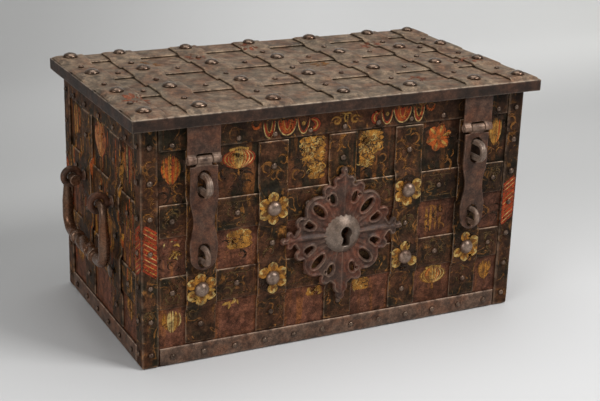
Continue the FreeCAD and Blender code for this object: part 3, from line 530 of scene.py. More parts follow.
def forge_bail(mesh, node):
    """Swells the arms below the eyes and cuts a rope twist into the grip."""
    low, high = (np.array(corner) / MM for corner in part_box(node))
    middle, grip_z, pivot_z = (low[0] + high[0]) / 2, low[2] + GRIP_R, high[2] - KNOB_R
    place, normal = points_and_normals(mesh)
    place /= MM
    in_grip = (np.abs(place[:, 1]) < GRIP_HALF) & (place[:, 2] < grip_z + 2 * GRIP_R)
    turn = np.arctan2(place[:, 2] - grip_z, place[:, 0] - middle)
    groove = 0.5 - 0.5 * np.cos(TWIST_STARTS * turn + math.tau * place[:, 1] / TWIST_PITCH)
    below_eye = np.clip((pivot_z - place[:, 2]) / ARM_EASE - 1, 0, 1)
    past_collar = np.clip((np.abs(place[:, 1]) - GRIP_HALF - COLLAR_GAP) / COLLAR_EASE, 0, 1)
    swell = ARM_SWELL * below_eye * past_collar
    move = np.where(in_grip, -TWIST_DEPTH * groove ** 2, swell)
    place += normal * move[:, None]
    move_points(mesh, place * MM)


def reed_staples(mesh):
    """Cuts two grooves along the rod of each staple."""
    place, normal = points_and_normals(mesh)
    place /= MM
    middles = [place[place[:, 0] * side > 0, 0] for side in (-1, 1)]
    centre = np.where(place[:, 0] < 0, *((values.min() + values.max()) / 2 for values in middles))
    away = np.abs(place[:, 0] - centre)
    place -= normal * (REED_DEPTH * np.exp(-((away - REED_OFFSET) / REED_WIDTH) ** 2))[:, None]
    move_points(mesh, place * MM)


print("twist", TWIST_STARTS, "grooves,", TWIST_PITCH, "mm between two")

# %% Lid rims
RIM_TOP, RIM_WRAP, RIM_LAP = 392.4, 1.6, 2
RIM_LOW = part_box("lid_front_rim")[0][2] / MM
RIM_X, RIM_FRONT = (LID_LOW[0] - RIM_WRAP, LID_HIGH[0] + RIM_WRAP), LID_LOW[1] - RIM_WRAP
RIM_BLOCKS = {
    "lid_front_rim": ((RIM_X[0], RIM_FRONT, RIM_LOW), (RIM_X[1], LID_LOW[1] + RIM_LAP, RIM_TOP)),
    "lid_left_rim": ((RIM_X[0], LID_LOW[1], RIM_LOW), (LID_LOW[0] + RIM_LAP, LID_HIGH[1], RIM_TOP)),
    "lid_right_rim": ((LID_HIGH[0] - RIM_LAP, LID_LOW[1], RIM_LOW), (RIM_X[1], LID_HIGH[1], RIM_TOP)),
}
print("rim", round(RIM_TOP - RIM_LOW, 1), "mm deep")

# %% Forging plan
STRAP_PLAN = {
    "painted_strap": ["front_lower_strap", "front_upper_strap", "front_upright_straps", "left_upright_straps",
                      "right_upright_straps", "back_upright_straps", "left_cross_straps",
                      "right_cross_straps", "back_cross_straps", "corner_angles", "top_bands"],
    "banding": ["base_bands"],
    "lid_iron": ["lid_cross_straps", "lid_depth_straps", "lid_end_straps"],
    "lid_rim": ["lid_front_rim", "lid_left_rim", "lid_right_rim"],
}
FITTING_PLAN = {
    "forged_iron": ["hasp_left", "hasp_right", "hasp_hangers", "left_eye_bolts", "right_eye_bolts",
                    "hinge_wall_leaves", "hinge_lid_leaves"],
    "rubbed_iron": ["hasp_pins", "upper_staples", "lower_staples", "hinge_pins"],
    "bail_iron": ["bail_left", "bail_right"],
    "boss_iron": ["keyhole_boss"],
    "lock_iron": ["lock_main_slide", "crank_left", "crank_right", "front_bolt_left", "front_bolt_right",
                  "reversing_lever_back", "reversing_lever_front", "end_bolt_back", "end_bolt_front"],
}
STRAP_CELL, STRAP_DENT = 2.3, 0.7
FITTING_CELL, FITTING_DENT = 1.2, 0.4
FINE_CELLS = {"upper_staples": 0.8, "lid_front_rim": 1.5, "lid_left_rim": 1.5, "lid_right_rim": 1.5}
FEATHERED = ("lid_depth_straps", "lid_end_straps")
BARREL_NODES = ("hasp_left", "hasp_right", "hasp_hangers")
print("straps and fittings", sum(map(len, [*STRAP_PLAN.values(), *FITTING_PLAN.values()])))

# %% Forged pieces
triangles = 0
for plan, cell, dent in ((STRAP_PLAN, STRAP_CELL, STRAP_DENT), (FITTING_PLAN, FITTING_CELL, FITTING_DENT)):
    for look, nodes in plan.items():
        for node in nodes:
            mesh = forged_mesh(node, FINE_CELLS.get(node, cell), dent, RIM_BLOCKS.get(node))
            if node in FEATHERED:
                feather_ends(mesh)
            elif look == "bail_iron":
                forge_bail(mesh, node)
            elif node == "upper_staples":
                reed_staples(mesh)
            mark_edges(mesh)
            if node in BARREL_NODES:
                rub_barrel(mesh)
            place_piece(node + "_forged", mesh, node, look)
            triangles += 2 * len(mesh.polygons)
print("forged pieces", triangles, "triangles")

# %% [markdown]
# ## Pierced escutcheon
# The plate round the keyhole is cut sheet, embossed from behind so that each lobe and each
# piercing has a raised rim. The cut outline is already in the solid. Each point of its front is
# lifted by its distance to the nearest cut edge, which draws the rims without any outline here.

# %% Embossing
RIM_LIFT, RIM_INSET, RIM_SPREAD = 2.2, 2.8, 1.7
PILLOW_LIFT, PILLOW_REACH = 2.6, 9.0
RIB_LIFT, RIB_HALF = 2.0, 3.2
FLUTES, FLUTE_DEPTH, FLUTE_EASE = 24, 2.0, 3.4


def embossing(gap, across, along):
    """How far a point is driven out, from its gap to a cut edge and its place across and along the plate."""
    rib = min(abs(across), abs(along)) / RIB_HALF
    flute = 0.5 - 0.5 * math.cos(FLUTES * math.atan2(across, along))
    lift = RIM_LIFT * math.exp(-((gap - RIM_INSET) / RIM_SPREAD) ** 2)
    lift += PILLOW_LIFT * (1 - math.exp(-gap / PILLOW_REACH))
    lift += RIB_LIFT * math.exp(-rib ** 2) * min(gap / FLUTE_EASE, 1)
    return lift - FLUTE_DEPTH * flute * min(max(gap / FLUTE_EASE - 1, 0), 1)


print("rim stands", round(embossing(RIM_INSET, 0, RIM_INSET), 1), "mm out on a rib")

# %% Escutcheon
PLATE_CELL, PLATE_DENT, PLATE_EDGE_GAIN = 1.1, 0.25, 2.8
CUT_FACING, FRONT_FACING = 0.55, -0.8
plate = forged_mesh("escutcheon", PLATE_CELL, PLATE_DENT)
place, facing = points_and_normals(plate)
cut_edge = np.flatnonzero(np.abs(facing[:, 1]) < CUT_FACING)
nearest = KDTree(len(cut_edge))
for index in cut_edge:
    nearest.insert(place[index], int(index))
nearest.balance()
plate_middle = [(a + b) / 2 / MM for a, b in zip(*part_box("keyhole_boss"))]
for index in np.flatnonzero(facing[:, 1] < FRONT_FACING):
    gap = nearest.find(place[index])[2] / MM
    across, along = (place[index, axis] / MM - plate_middle[axis] for axis in (0, 2))
    place[index, 1] -= embossing(gap, across, along) * MM
move_points(plate, place)
mark_edges(plate, PLATE_EDGE_GAIN)
place_piece("escutcheon_embossed", plate, "escutcheon", "plate_iron")
print("escutcheon", len(plate.polygons), "faces")

# %% [markdown]
# ## Rivets
# Rivets hold the straps, each a dome that was hammered a little differently. Geometry Nodes put
# one dome on every rivet's place, turned and sized by attributes, with a small seeded change of
# size. Copying domes in a loop would work too, but the tree keeps one dome to edit.

# %% Rivet tree
RIVET_IN = [("Geometry", "Geometry"), ("Sides", "Int"), ("Rings", "Int"), ("Least", "Float"),
            ("Finish", "Material")]
RIVET_SEED, RIVET_RUB = 11, 0.6


def stored_vector(tree, label):
    return out(add(tree, "GeometryNodeInputNamedAttribute", {"Name": label}, data_type="FLOAT_VECTOR"))


def rivet_dome(tree, start):
    """A ball whose lower half is pressed flat, rubbed most at its top."""
    sizes = {"Segments": out(start, "Sides"), "Rings": out(start, "Rings"), "Radius": 1.0}
    ball = add(tree, "GeometryNodeMeshUVSphere", sizes)
    spot = add(tree, "ShaderNodeSeparateXYZ", {"Vector": out(add(tree, "GeometryNodeInputPosition"))})
    top = maths(tree, "MAXIMUM", out(spot, "Z"), 0.0)
    flat = add(tree, "ShaderNodeCombineXYZ", {"X": out(spot, "X"), "Y": out(spot, "Y"), "Z": top})
    dome = add(tree, "GeometryNodeSetPosition", {"Geometry": out(ball, "Mesh"), "Position": out(flat)})
    marks = {"Geometry": out(dome), "Name": "edge", "Value": maths(tree, "MULTIPLY", top, RIVET_RUB)}
    return out(add(tree, "GeometryNodeStoreNamedAttribute", marks, data_type="FLOAT", domain="POINT"))


def rivet_tree():
    tree = bpy.data.node_groups.new("set_rivets", "GeometryNodeTree")
    ids = {}
    for label, kind in RIVET_IN:
        socket = tree.interface.new_socket(label, in_out="INPUT", socket_type="NodeSocket" + kind)
        ids[label] = socket.identifier
    tree.interface.new_socket("Geometry", in_out="OUTPUT", socket_type="NodeSocketGeometry")
    start = tree.nodes.new("NodeGroupInput")
    turn = add(tree, "FunctionNodeAlignRotationToVector", {"Vector": stored_vector(tree, "facing")}, axis="Z")
    limits = {"Min": out(start, "Least"), "Max": 1.0, "Seed": RIVET_SEED}
    change = out(add(tree, "FunctionNodeRandomValue", limits, data_type="FLOAT"), "Value")
    sizes = {0: stored_vector(tree, "size"), "Scale": change}
    scaled = add(tree, "ShaderNodeVectorMath", sizes, operation="SCALE")
    setting = {"Points": out(start), "Instance": rivet_dome(tree, start), "Rotation": out(turn),
               "Scale": out(scaled)}
    copies = add(tree, "GeometryNodeInstanceOnPoints", setting)
    real = add(tree, "GeometryNodeRealizeInstances", {"Geometry": out(copies)})
    soft = add(tree, "GeometryNodeSetShadeSmooth", {"Geometry": out(real)})
    last = add(tree, "GeometryNodeSetMaterial", {"Geometry": out(soft), "Material": out(start, "Finish")})
    tree.links.new(out(last), tree.nodes.new("NodeGroupOutput").inputs[0])
    return tree, ids


RIVET_TREE, RIVET_IDS = rivet_tree()
print("rivet tree", len(RIVET_TREE.nodes), "nodes")


# %% Rivet places
def islands(mesh):
    """The points of each separate shell of a mesh. The mesh's own order keeps them the same in each run."""
    work = bmesh.new()
    work.from_mesh(mesh)
    seen = set()
    for first in work.verts:
        if first in seen:
            continue
        seen.add(first)
        group, waiting = [], [first]
        while waiting:
            vert = waiting.pop()
            group.append(vert.co[:])
            others = [edge.other_vert(vert) for edge in vert.link_edges]
            fresh = [other for other in others if other not in seen]
            seen.update(fresh)
            waiting += fresh
        yield np.array(group)
    work.free()


def rivet_places(node, way, height):
    """The middle of each rivet's foot, and its radius."""
    along = int(np.flatnonzero(way)[0])
    across = [axis for axis in range(3) if axis != along]
    for group in islands(welded_copy(node)):
        low, high = group.min(0), group.max(0)
        place = (low + high) / 2
        tip = high[along] if way[along] > 0 else low[along]
        place[along] = tip - way[along] * height
        yield place, (high - low)[across].max() / 2


def set_rivets(node, way, height, form, look="rivet_iron", seat=0.0):
    found = list(rivet_places(node, np.array(way), (height + seat) * MM))
    mesh = bpy.data.meshes.new(node + "_places")
    mesh.from_pydata([place.tolist() for place, _ in found], [], [])
    rows = {"facing": [way] * len(found), "size": [(radius, radius, height * MM) for _, radius in found]}
    for label, values in rows.items():
        attribute = mesh.attributes.new(label, "FLOAT_VECTOR", "POINT")
        attribute.data.foreach_set("vector", np.array(values, dtype=np.float32).ravel())
    work = new_object(node + "_work", mesh)
    setter = work.modifiers.new("set_rivets", "NODES")
    setter.node_group = RIVET_TREE
    for label, value in {**form, "Finish": FINISHES[look]}.items():
        setter[RIVET_IDS[label]] = value
    piece = place_piece(node + "_set", settled(work), node, look)
    print(node, len(found), "rivets", len(piece.data.polygons), "faces")


# %% Rivets
BUTTON_H, DOME_H, LID_DOME_SUNK = 3.4, 9.0, 2.4
BUTTON = {"Sides": 10, "Rings": 6, "Least": 0.82}
ROSETTE_DOME = {"Sides": 18, "Rings": 12, "Least": 0.94}
LID_DOME = {"Sides": 18, "Rings": 12, "Least": 0.84}
UP = (0, 0, 1)
WAYS = {"front": (0, -1, 0), "back": (0, 1, 0), "left": (-1, 0, 0), "right": (1, 0, 0)}
for side, way in WAYS.items():
    set_rivets(side + "_rivets", way, BUTTON_H, BUTTON)
set_rivets("rosette_rivets", WAYS["front"], DOME_H, ROSETTE_DOME, "dome_iron")
set_rivets("lid_dome_rivets", UP, DOME_H - LID_DOME_SUNK, LID_DOME, "lid_dome", LID_DOME_SUNK)
set_rivets("lid_rivets", UP, BUTTON_H, BUTTON)

# %% [markdown]
# ## Sheets and hidden parts
# Walls, floor, lid plate, catch frame and the lock's plate, guides and studs already have the right
# solid shape, so they stay and only take a finish. Replacing them would add faces and show nothing
# more.

# %% Kept sheets
KEPT = {
    "painted_sheet": ["front_wall", "back_wall", "left_wall", "right_wall"],
    "lid_iron": ["lid_plate"],
    "lock_sheet": ["floor_plate", "catch_frame", "lock_plate"],
    "lock_iron": ["lock_guides", "lock_studs"],
}
for look, nodes in KEPT.items():
    for node in nodes:
        coats = frame["nodes"][node].data.materials
        coats.clear()
        coats.append(FINISHES[look])
print("kept sheets", sum(len(nodes) for nodes in KEPT.values()))

# %% [markdown]
# ## Brush strokes
# The flowers were painted with a loaded brush: each petal or leaf is one stroke that swells and
# tapers. A painted picture would lie flat, so each stroke is a thin closed ridge of paint along a
# curve, with its colour in an attribute. The finish then flakes it away in patches.

# %% Brush
PAINTS = {"red": tone(172, 62, 30), "orange": tone(194, 94, 36), "gold": tone(200, 152, 74),
          "ochre": tone(150, 98, 42), "cream": tone(216, 184, 116), "brown": tone(54, 40, 28),
          "amber": tone(190, 130, 52), "rose": tone(150, 84, 58), "olive": tone(96, 76, 42),
          "soot": tone(32, 24, 15)}
STROKE_LOW, STROKE_HIGH, LAYER_STEP = 0.22, 0.34, 0.05
STROKE_STEPS, STROKE_TAPER, BLUNT_END = 9, 0.6, 0.08


def bezier(points, steps):
    share = np.linspace(0, 1, steps + 1)[:, None]
    rows = [np.repeat(np.array(point, float)[None], steps + 1, 0) for point in points]
    while len(rows) > 1:
        rows = [a * (1 - share) + b * share for a, b in zip(rows, rows[1:])]
    return rows[0]


class Brush:
    """Gathers strokes, in millimetres on a surface, into one mesh. Hold is how much paint stays on."""

    def __init__(self, surface):
        self.points, self.faces, self.colours = [], [], []
        self.surface, self.hold = surface, 1.0

    def stroke(self, points, width, paint, layer=0, taper=STROKE_TAPER, steps=STROKE_STEPS):
        """A ridge along the Bezier curve that these points pull."""
        self.ridge(bezier(points, steps), width, paint, layer, taper)

    def ridge(self, path, width, paint, layer=0, taper=STROKE_TAPER):
        """A closed ridge of three edges along a path, thicker in a higher layer."""
        way = np.gradient(path, axis=0)
        way /= np.linalg.norm(way, axis=1, keepdims=True) + 1e-9
        side = np.stack([-way[:, 1], way[:, 0]], 1)
        swell = np.clip(np.sin(np.pi * np.linspace(0, 1, len(path))), 0, 1) ** taper
        half = width / 2 * np.maximum(swell, BLUNT_END)[:, None]
        low, high = STROKE_LOW + LAYER_STEP * layer, STROKE_HIGH + LAYER_STEP * layer
        first = len(self.points)
        for left, middle, right in zip(path - side * half, path, path + side * half):
            self.points += [self.surface(*left, low), self.surface(*middle, high), self.surface(*right, low)]
        for row in range(len(path) - 1):
            a = first + 3 * row
            for here, there in ((0, 1), (1, 2), (2, 0)):
                self.faces.append((a + here, a + there, a + 3 + there, a + 3 + here))
        end = first + 3 * (len(path) - 1)
        self.faces += [(first, first + 1, first + 2), (end, end + 1, end + 2)]
        self.colours += [(*PAINTS[paint][:3], self.hold)] * (3 * len(path))

    def mesh(self, name):
        mesh = bpy.data.meshes.new(name)
        mesh.from_pydata([tuple(v * MM for v in point) for point in self.points], [], self.faces)
        tint = mesh.attributes.new("tint", "FLOAT_COLOR", "POINT")
        tint.data.foreach_set("color", np.array(self.colours, dtype=np.float32).ravel())
        rework(mesh, lambda work: bmesh.ops.recalc_face_normals(work, faces=work.faces))
        return mesh


print("paints", sorted(PAINTS))

# %% Painted surfaces
FAR_OUT = 1.0
BANDS = ("corner_angles", "top_bands", "base_bands")


def carriers(*nodes):
    graph = bpy.context.evaluated_depsgraph_get()
    pieces = [bpy.data.objects.get(node + "_forged") or frame["nodes"][node] for node in nodes]
    return [BVHTree.FromObject(piece, graph) for piece in pieces]


def draped(axis, way, *nodes):
    """A surface that drops each point of a stroke onto the outermost of these pieces."""
    trees = carriers(*nodes)
    plain = max(way * corner[axis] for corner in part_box(nodes[0]))
    across = [other for other in range(3) if other != axis]
    inward = Vector([-way if other == axis else 0 for other in range(3)])

    def surface(u, v, lift):
        start = Vector((0, 0, 0))
        start[across[0]], start[across[1]], start[axis] = u * MM, v * MM, way * FAR_OUT
        hits = [tree.ray_cast(start, inward)[0] for tree in trees]
        start[axis] = way * (max((way * hit[axis] for hit in hits if hit), default=plain) + lift * MM)
        return tuple(value / MM for value in start)

    return surface


FRONT = draped(1, -1, "front_wall", "front_lower_strap", "front_upper_strap", "front_upright_straps", *BANDS)
ENDS = [draped(0, way, side + "_wall", side + "_upright_straps", side + "_cross_straps", *BANDS)
        for way, side in ((-1, "left"), (1, "right"))]
LID = draped(2, 1, "lid_plate", "lid_cross_straps", "lid_depth_straps", "lid_end_straps")
print("painted surfaces", 2 + len(ENDS))

# %% [markdown]
# ## Flowers
# Striped tulips, ribbed bulbs, six-petal blooms, brocade fields and scrolls are the usual stock of
# painted chests. Each is a short function of place and size, so the same few brush habits repeat
# over the panels with small seeded changes, as a painter's hand does. Plain numbers inside a
# function are shares of the flower's size, or millimetres, counts and layers of paint.

# %% Hand
HAND_SEED = 5
hand = random.Random(HAND_SEED)


def wobble(size):
    return hand.uniform(-size, size)


def heading(turn):
    return np.array((math.cos(turn), math.sin(turn)))


def arc(u, v, wide, high, turns):
    return np.stack([u + wide * np.cos(turns), v + high * np.sin(turns)], 1)


print("hand seed", HAND_SEED)

# %% Flower functions
TONGUE_GAP = 2.4


def flames(brush, u, v, wide, high, paints):
    """A striped tulip: upright tongues of paint side by side."""
    count = round(wide / TONGUE_GAP)
    for number in range(count):
        share = (number + 0.5) / count - 0.5
        foot = (u + share * wide * 0.6 + wobble(0.6), v - high * (0.5 - share * share))
        belly = (u + share * wide * 1.3, v - high * 0.1)
        tip = (u + share * wide + wobble(0.8), v + high * (0.5 - 0.3 * abs(share)) + wobble(2))
        brush.stroke([foot, belly, tip], hand.uniform(2.6, 5.0), hand.choice(paints), number % 5)


def bulb(brush, u, v, wide, high, paints=("gold", "orange", "red")):
    """A closed flower, ribbed from foot to crown. The paints run from its middle to its sides."""
    for turn in (-1, 1, -0.75, 0.75, -0.5, 0.5, -0.25, 0.25, 0):
        foot = (u + turn * wide * 0.1, v - high / 2)
        belly = (u + turn * wide * 0.92, v)
        crown = (u + turn * wide * 0.3 + wobble(1), v + high * (0.5 - 0.1 * abs(turn)))
        brush.stroke([foot, belly, crown], wide * 0.2, paints[min(int(abs(turn) * 3), 2)], 1)
        brush.stroke([foot, belly, crown], wide * 0.045, "gold" if turn < 0 else "cream", 3)
        brush.stroke([crown, (crown[0] + turn * 3, crown[1] + 4)], wide * 0.12, "gold", 4)
    brush.stroke([(u, v - high / 2), (u + 1, v - high * 0.95)], 5, "ochre")


def bloom(brush, u, v, size):
    """Six orange petals, each with a gold vein, round an ochre heart."""
    for number in range(6):
        reach = heading(math.radians(60 * number + 15)) * size / 2
        tip = (u + reach[0], v + reach[1])
        brush.stroke([(u, v), tip], size * 0.42, "orange", number % 2)
        brush.stroke([(u + reach[0] * 0.3, v + reach[1] * 0.3), tip], size * 0.1, "gold", 3)
    brush.stroke([(u - 4, v), (u + 4, v)], 8, "ochre", 4)


def star(brush, u, v, size, paint):
    """A worn flower of eight thin petals."""
    for number in range(8):
        reach = heading(math.radians(45 * number + wobble(8))) * size / 2
        root = (u + reach[0] * 0.25, v + reach[1] * 0.25)
        brush.stroke([root, (u + reach[0], v + reach[1])], size * 0.17, paint, number % 2)


def rosette(brush, u, v, lost, size=52):
    """Six round petals on dark ones, of which a share has lost its paint."""
    centre = np.array((u, v))
    for number in range(6):
        way = heading(math.radians(60 * number + 30 + wobble(6)))
        side = np.array((-way[1], way[0]))
        path = [centre + way * size * share for share in (0.17, 0.35, 0.49)]
        brush.stroke(path, size * 0.50, "soot", number % 2)
        if hand.random() < lost:
            continue
        brush.stroke(path, size * hand.uniform(0.31, 0.37), hand.choice(("amber", "gold")), 3, taper=0.4)
        brush.stroke([path[0], path[1], path[1] + way * 4], size * 0.14, "ochre", 5)
        brush.stroke([path[1] + side * 3, path[2] + side], size * 0.10, "cream", 6)
        rim = [path[1] - side * size * 0.14, path[2] - side * size * 0.08, path[2] + side * size * 0.06]
        brush.stroke(rim, 2.0, "cream", 6)


# %% Fields and leaves
BROCADE_PAINTS = ("brown", "brown", "ochre", "gold", "cream")
LEAF_PAINTS = ("gold", "gold", "ochre", "cream")


def washed(brush, u, v, wide, high):
    """Level strokes of amber that fill a field."""
    rows = max(2, round(high / 9))
    for row in range(rows):
        level = v - high / 2 + high * (row + 0.5) / rows
        path = [(u - wide / 2 + wobble(2), level), (u, level + wobble(3)), (u + wide / 2 + wobble(2), level)]
        brush.stroke(path, high / rows * 1.3, "amber", row % 2, taper=0.06)


def brocade(brush, u, v, wide, high, count):
    """A gold field with fine dark and pale curls drawn over it."""
    washed(brush, u, v, wide, high)
    for number in range(count):
        centre = (u + wobble(wide * 0.48), v + wobble(high * 0.5))
        first, reach = hand.uniform(0, math.tau), hand.uniform(2.0, 4.5)
        turns = np.linspace(first, first + hand.uniform(2, 4), 7)
        brush.ridge(arc(*centre, reach, reach, turns), 1.6, hand.choice(BROCADE_PAINTS), 2 + number % 4)


def spray(brush, u, v, wide, high, count, accent, leaf=(7, 14)):
    """Loose leaves, of which a share is red."""
    for number in range(count):
        start = np.array((u + wobble(wide / 2), v + wobble(high / 2)))
        turn = hand.uniform(0, math.tau)
        long = hand.uniform(*leaf)
        bend = turn + wobble(0.9)
        middle = start + 0.5 * long * heading(turn)
        end = middle + 0.5 * long * heading(bend)
        paint = "red" if hand.random() < accent else hand.choice(LEAF_PAINTS)
        brush.stroke([start, middle, end], long * hand.uniform(0.28, 0.42), paint, 2 + number % 5, steps=6)


def curl(brush, u, v, size, way, paint):
    brush.ridge(arc(u, v, way * size, size, np.linspace(0.5, 4.6, 12)), size * 0.42, paint)


def foliage(brush, u, v, wide, high, count, paint, leaf, hold):
    """Dim curling leaves that fill a panel or a strap behind its flower."""
    brush.hold = hold
    for _ in range(count):
        spot = (u + wobble(wide / 2), v + wobble(high / 2))
        curl(brush, *spot, hand.uniform(*leaf), hand.choice((-1, 1)), paint)


# %% Band ornament
# Hoops of half the ornament, by distance from its middle: width, drop, brush width, paint, layer.
CARTOUCHE_HOOPS = {
    98: ((34, 26, 6, "soot", 0), (27, 22, 8, "red", 1), (14, 17, 9, "orange", 2), (6, 11, 7, "red", 3),
         (31, 24, 1.8, "cream", 5), (10, 16, 1.4, "gold", 5)),
    127: ((19, 26, 8, "soot", 0), (16, 23, 7, "red", 1), (19, 25.5, 1.8, "cream", 4),
          (9, 17, 1.6, "gold", 4)),
    71: ((16, 18, 6, "soot", 0), (18, 22, 4, "red", 2), (20, 24, 1.5, "cream", 4)),
}


def hoop(brush, middle, top, wide, deep, width, paint, layer):
    """A stroke that hangs from two points like a swag."""
    path = arc(middle, top, wide / 2, -deep, np.linspace(0, math.pi, 15))
    brush.ridge(path, width, paint, layer, taper=0.25)


def cartouche(brush, u, v, way):
    """Half of the band's ornament, outwards from its middle: a leaf, a dark eye, a bowl and a hoop."""
    top = v + 11
    for reach, hoops in CARTOUCHE_HOOPS.items():
        for row in hoops:
            hoop(brush, u + way * reach, top, *row)
    brush.stroke([(u + way * 68, v + 3), (u + way * 74, v + 3)], 6, "gold", 3)
    leaf = [(u + way * 60, v + 8), (u + way * 42, v + 6), (u + way * 46, v - 12), (u + way * 60, v - 8)]
    for width, paint, layer in ((12, "soot", 0), (10, "red", 2), (2.4, "gold", 5)):
        brush.stroke(leaf, width, paint, layer, taper=0.4)
    hoop(brush, u + way * 148, top, 14, 9, 4, "orange", 1)


def scroll(brush, u, v, size, way, paint):
    turns = np.linspace(0, 2.4 * math.pi, 24)
    reach = size * (1 - turns / turns[-1] * 0.8)
    path = arc(u, v, way * reach, reach * 0.85, turns)
    brush.ridge(path, size * 0.56, paint, 1)
    brush.ridge(path, size * 0.13, "gold", 4)


def hatch(brush, u, low, high, wide, slant):
    """Red slanting bars, each with a pale line on it."""
    for number in range(9):
        level = low + (high - low) * (number + 0.5) / 9
        bar = [(u - wide / 2, level + slant / 2), (u, level), (u + wide / 2, level - slant / 2)]
        brush.stroke(bar, (high - low) / 7.5, "red", number % 2, taper=0)
        brush.stroke(bar, 1.6, hand.choice(("gold", "cream", "ochre")), 3)


def stripes(brush, u, v):
    """Four upright strokes, amber on the left and ochre on the right."""
    for offset in (-12, -4, 5, 13):
        path = [(u + offset, v + 23), (u + 1 + offset, v), (u + offset, v - 20)]
        brush.stroke(path, 5, "amber" if offset < 0 else "ochre")


# %% Painted grounds
# Rows of leaves: level, height of the patch, count, paint, leaf size and how much paint holds.
UPRIGHTS, UPRIGHT_WIDE = (-232, -116, 0, 116, 232), 30
UPRIGHT_LEAVES = ((298, 60, 4, "ochre", (7, 12), 0.66), (174, 44, 3, "olive", (6, 9), 0.6),
                  (74, 30, 2, "olive", (5, 8), 0.55))
PANEL_WIDTHS = {-277: 28, -174: 48, -58: 48, 58: 48, 174: 48, 277: 28}
PANEL_LEAVES = ((295, 76, 9, "soot", (7, 12), 0.85), (276, 34, 5, "ochre", (5, 9), 0.55),
                (174, 40, 5, "soot", (5, 9), 0.6), (174, 40, 3, "ochre", (5, 8), 0.5))
CORNER_X, CORNER_WIDE = 310, 14
CORNER_LEAVES = ((280, 110, 9, "ochre", (4, 8), 0.56), (100, 90, 6, "olive", (4, 8), 0.56))
CROSS_LEVELS, CROSS_LEAF, CROSS_LEAF_GAP, CROSS_MARGIN, CROSS_HIGH = (118, 230), (4, 8), 7, 16, 26
CROSS_END, CROSS_INSET, CROSS_OFFSET = 324, 30, 17
LINE_OFFSET, LINE_LOW, LINE_HIGH = 22.5, 58, 336


def straight(brush, start, end, width, paint, hold, steps):
    brush.hold = hold
    brush.stroke([start, end], width, paint, taper=0.05, steps=steps)


front = Brush(FRONT)
for x in UPRIGHTS:
    for edge in (x - LINE_OFFSET, x + LINE_OFFSET):
        straight(front, (edge, LINE_LOW), (edge, LINE_HIGH), 1.9, "ochre", 0.5, 36)
stops = (-CROSS_END, *UPRIGHTS, CROSS_END)
for level in CROSS_LEVELS:
    for low, high in [(a + CROSS_INSET, b - CROSS_INSET) for a, b in zip(stops, stops[1:])]:
        for edge in (level - CROSS_OFFSET, level + CROSS_OFFSET):
            straight(front, (low, edge), (high, edge), 1.5, "olive", 0.55, 6)
        wide, count = high - low - CROSS_MARGIN, round((high - low) / CROSS_LEAF_GAP)
        foliage(front, (low + high) / 2, level, wide, CROSS_HIGH, count, "olive", CROSS_LEAF, 0.6)
PATCHES = [(x, wide, PANEL_LEAVES) for x, wide in PANEL_WIDTHS.items()]
PATCHES += [(x, UPRIGHT_WIDE, UPRIGHT_LEAVES) for x in UPRIGHTS]
PATCHES += [(x, CORNER_WIDE, CORNER_LEAVES) for x in (-CORNER_X, CORNER_X)]
for x, wide, rows in PATCHES:
    for level, *leaves in rows:
        foliage(front, x, level, wide, *leaves)
print("painted grounds", len(front.colours), "points")

# %% Front flowers
# Each row: how much paint holds, the motif, its place across and its level, then its own sizes.
FRONT_FLOWERS = (
    (0.8, flames, -277, 306, 27, 46, ("orange", "orange", "gold", "amber", "red")),
    (0.72, bulb, -171, 312, 40, 30),
    (0.8, brocade, -50, 313, 42, 38, 110),
    (0.8, brocade, -44, 280, 28, 24, 44),
    (0.8, brocade, 50, 315, 44, 32, 110),
    (0.8, brocade, 42, 288, 28, 22, 44),
    (0.8, bloom, 171, 308, 46),
    (0.8, flames, 277, 306, 22, 46, ("ochre", "orange", "amber", "gold")),
    (0.7, brocade, -168, 186, 40, 26, 36),
    (0.7, stripes, 169, 172),
    (0.7, spray, -277, 184, 24, 30, 26, 0.15, (4, 9)),
    (0.8, flames, -277, 70, 27, 36, ("cream", "gold", "amber", "ochre")),
    (0.8, spray, -177, 84, 18, 12, 6, 0.2),
    (0.8, brocade, -40, 82, 26, 14, 10),
    (0.8, brocade, 42, 80, 30, 18, 16),
    (0.8, bulb, 176, 74, 38, 28, ("amber", "orange", "ochre")),
    (0.8, flames, 277, 68, 22, 36, ("amber", "orange", "ochre")),
    *((0.88, rosette, x, 230, 0.1) for x in (-116, 116)),
    *((0.88, rosette, x, 118, 0.2) for x in (-232, -116, 116, 232)),
)
BAND_MIDDLE, BAND_LEVEL = 2, 354
HATCH_X, HATCH_LOW, HATCH_HIGH, HATCH_WIDE, HATCH_SLANT = 310.5, 152, 222, 21, 15


def paint_flowers(brush, rows):
    for hold, motif, *sizes in rows:
        brush.hold = hold
        motif(brush, *sizes)


paint_flowers(front, FRONT_FLOWERS)
for way in (-1, 1):
    paint_flowers(front, (
        (0.86, cartouche, BAND_MIDDLE, BAND_LEVEL, way),
        (0.82, hatch, way * HATCH_X, HATCH_LOW, HATCH_HIGH, HATCH_WIDE, -way * HATCH_SLANT),
    ))
for way in (-1, 1):
    paint_flowers(front, (
        (0.8, scroll, BAND_MIDDLE + way * 16, BAND_LEVEL, 9, way, "ochre"),
        (0.8, curl, BAND_MIDDLE + way * 4, BAND_LEVEL + 4, 7, way, "gold"),
    ))
print("front strokes", len(front.colours), "points")

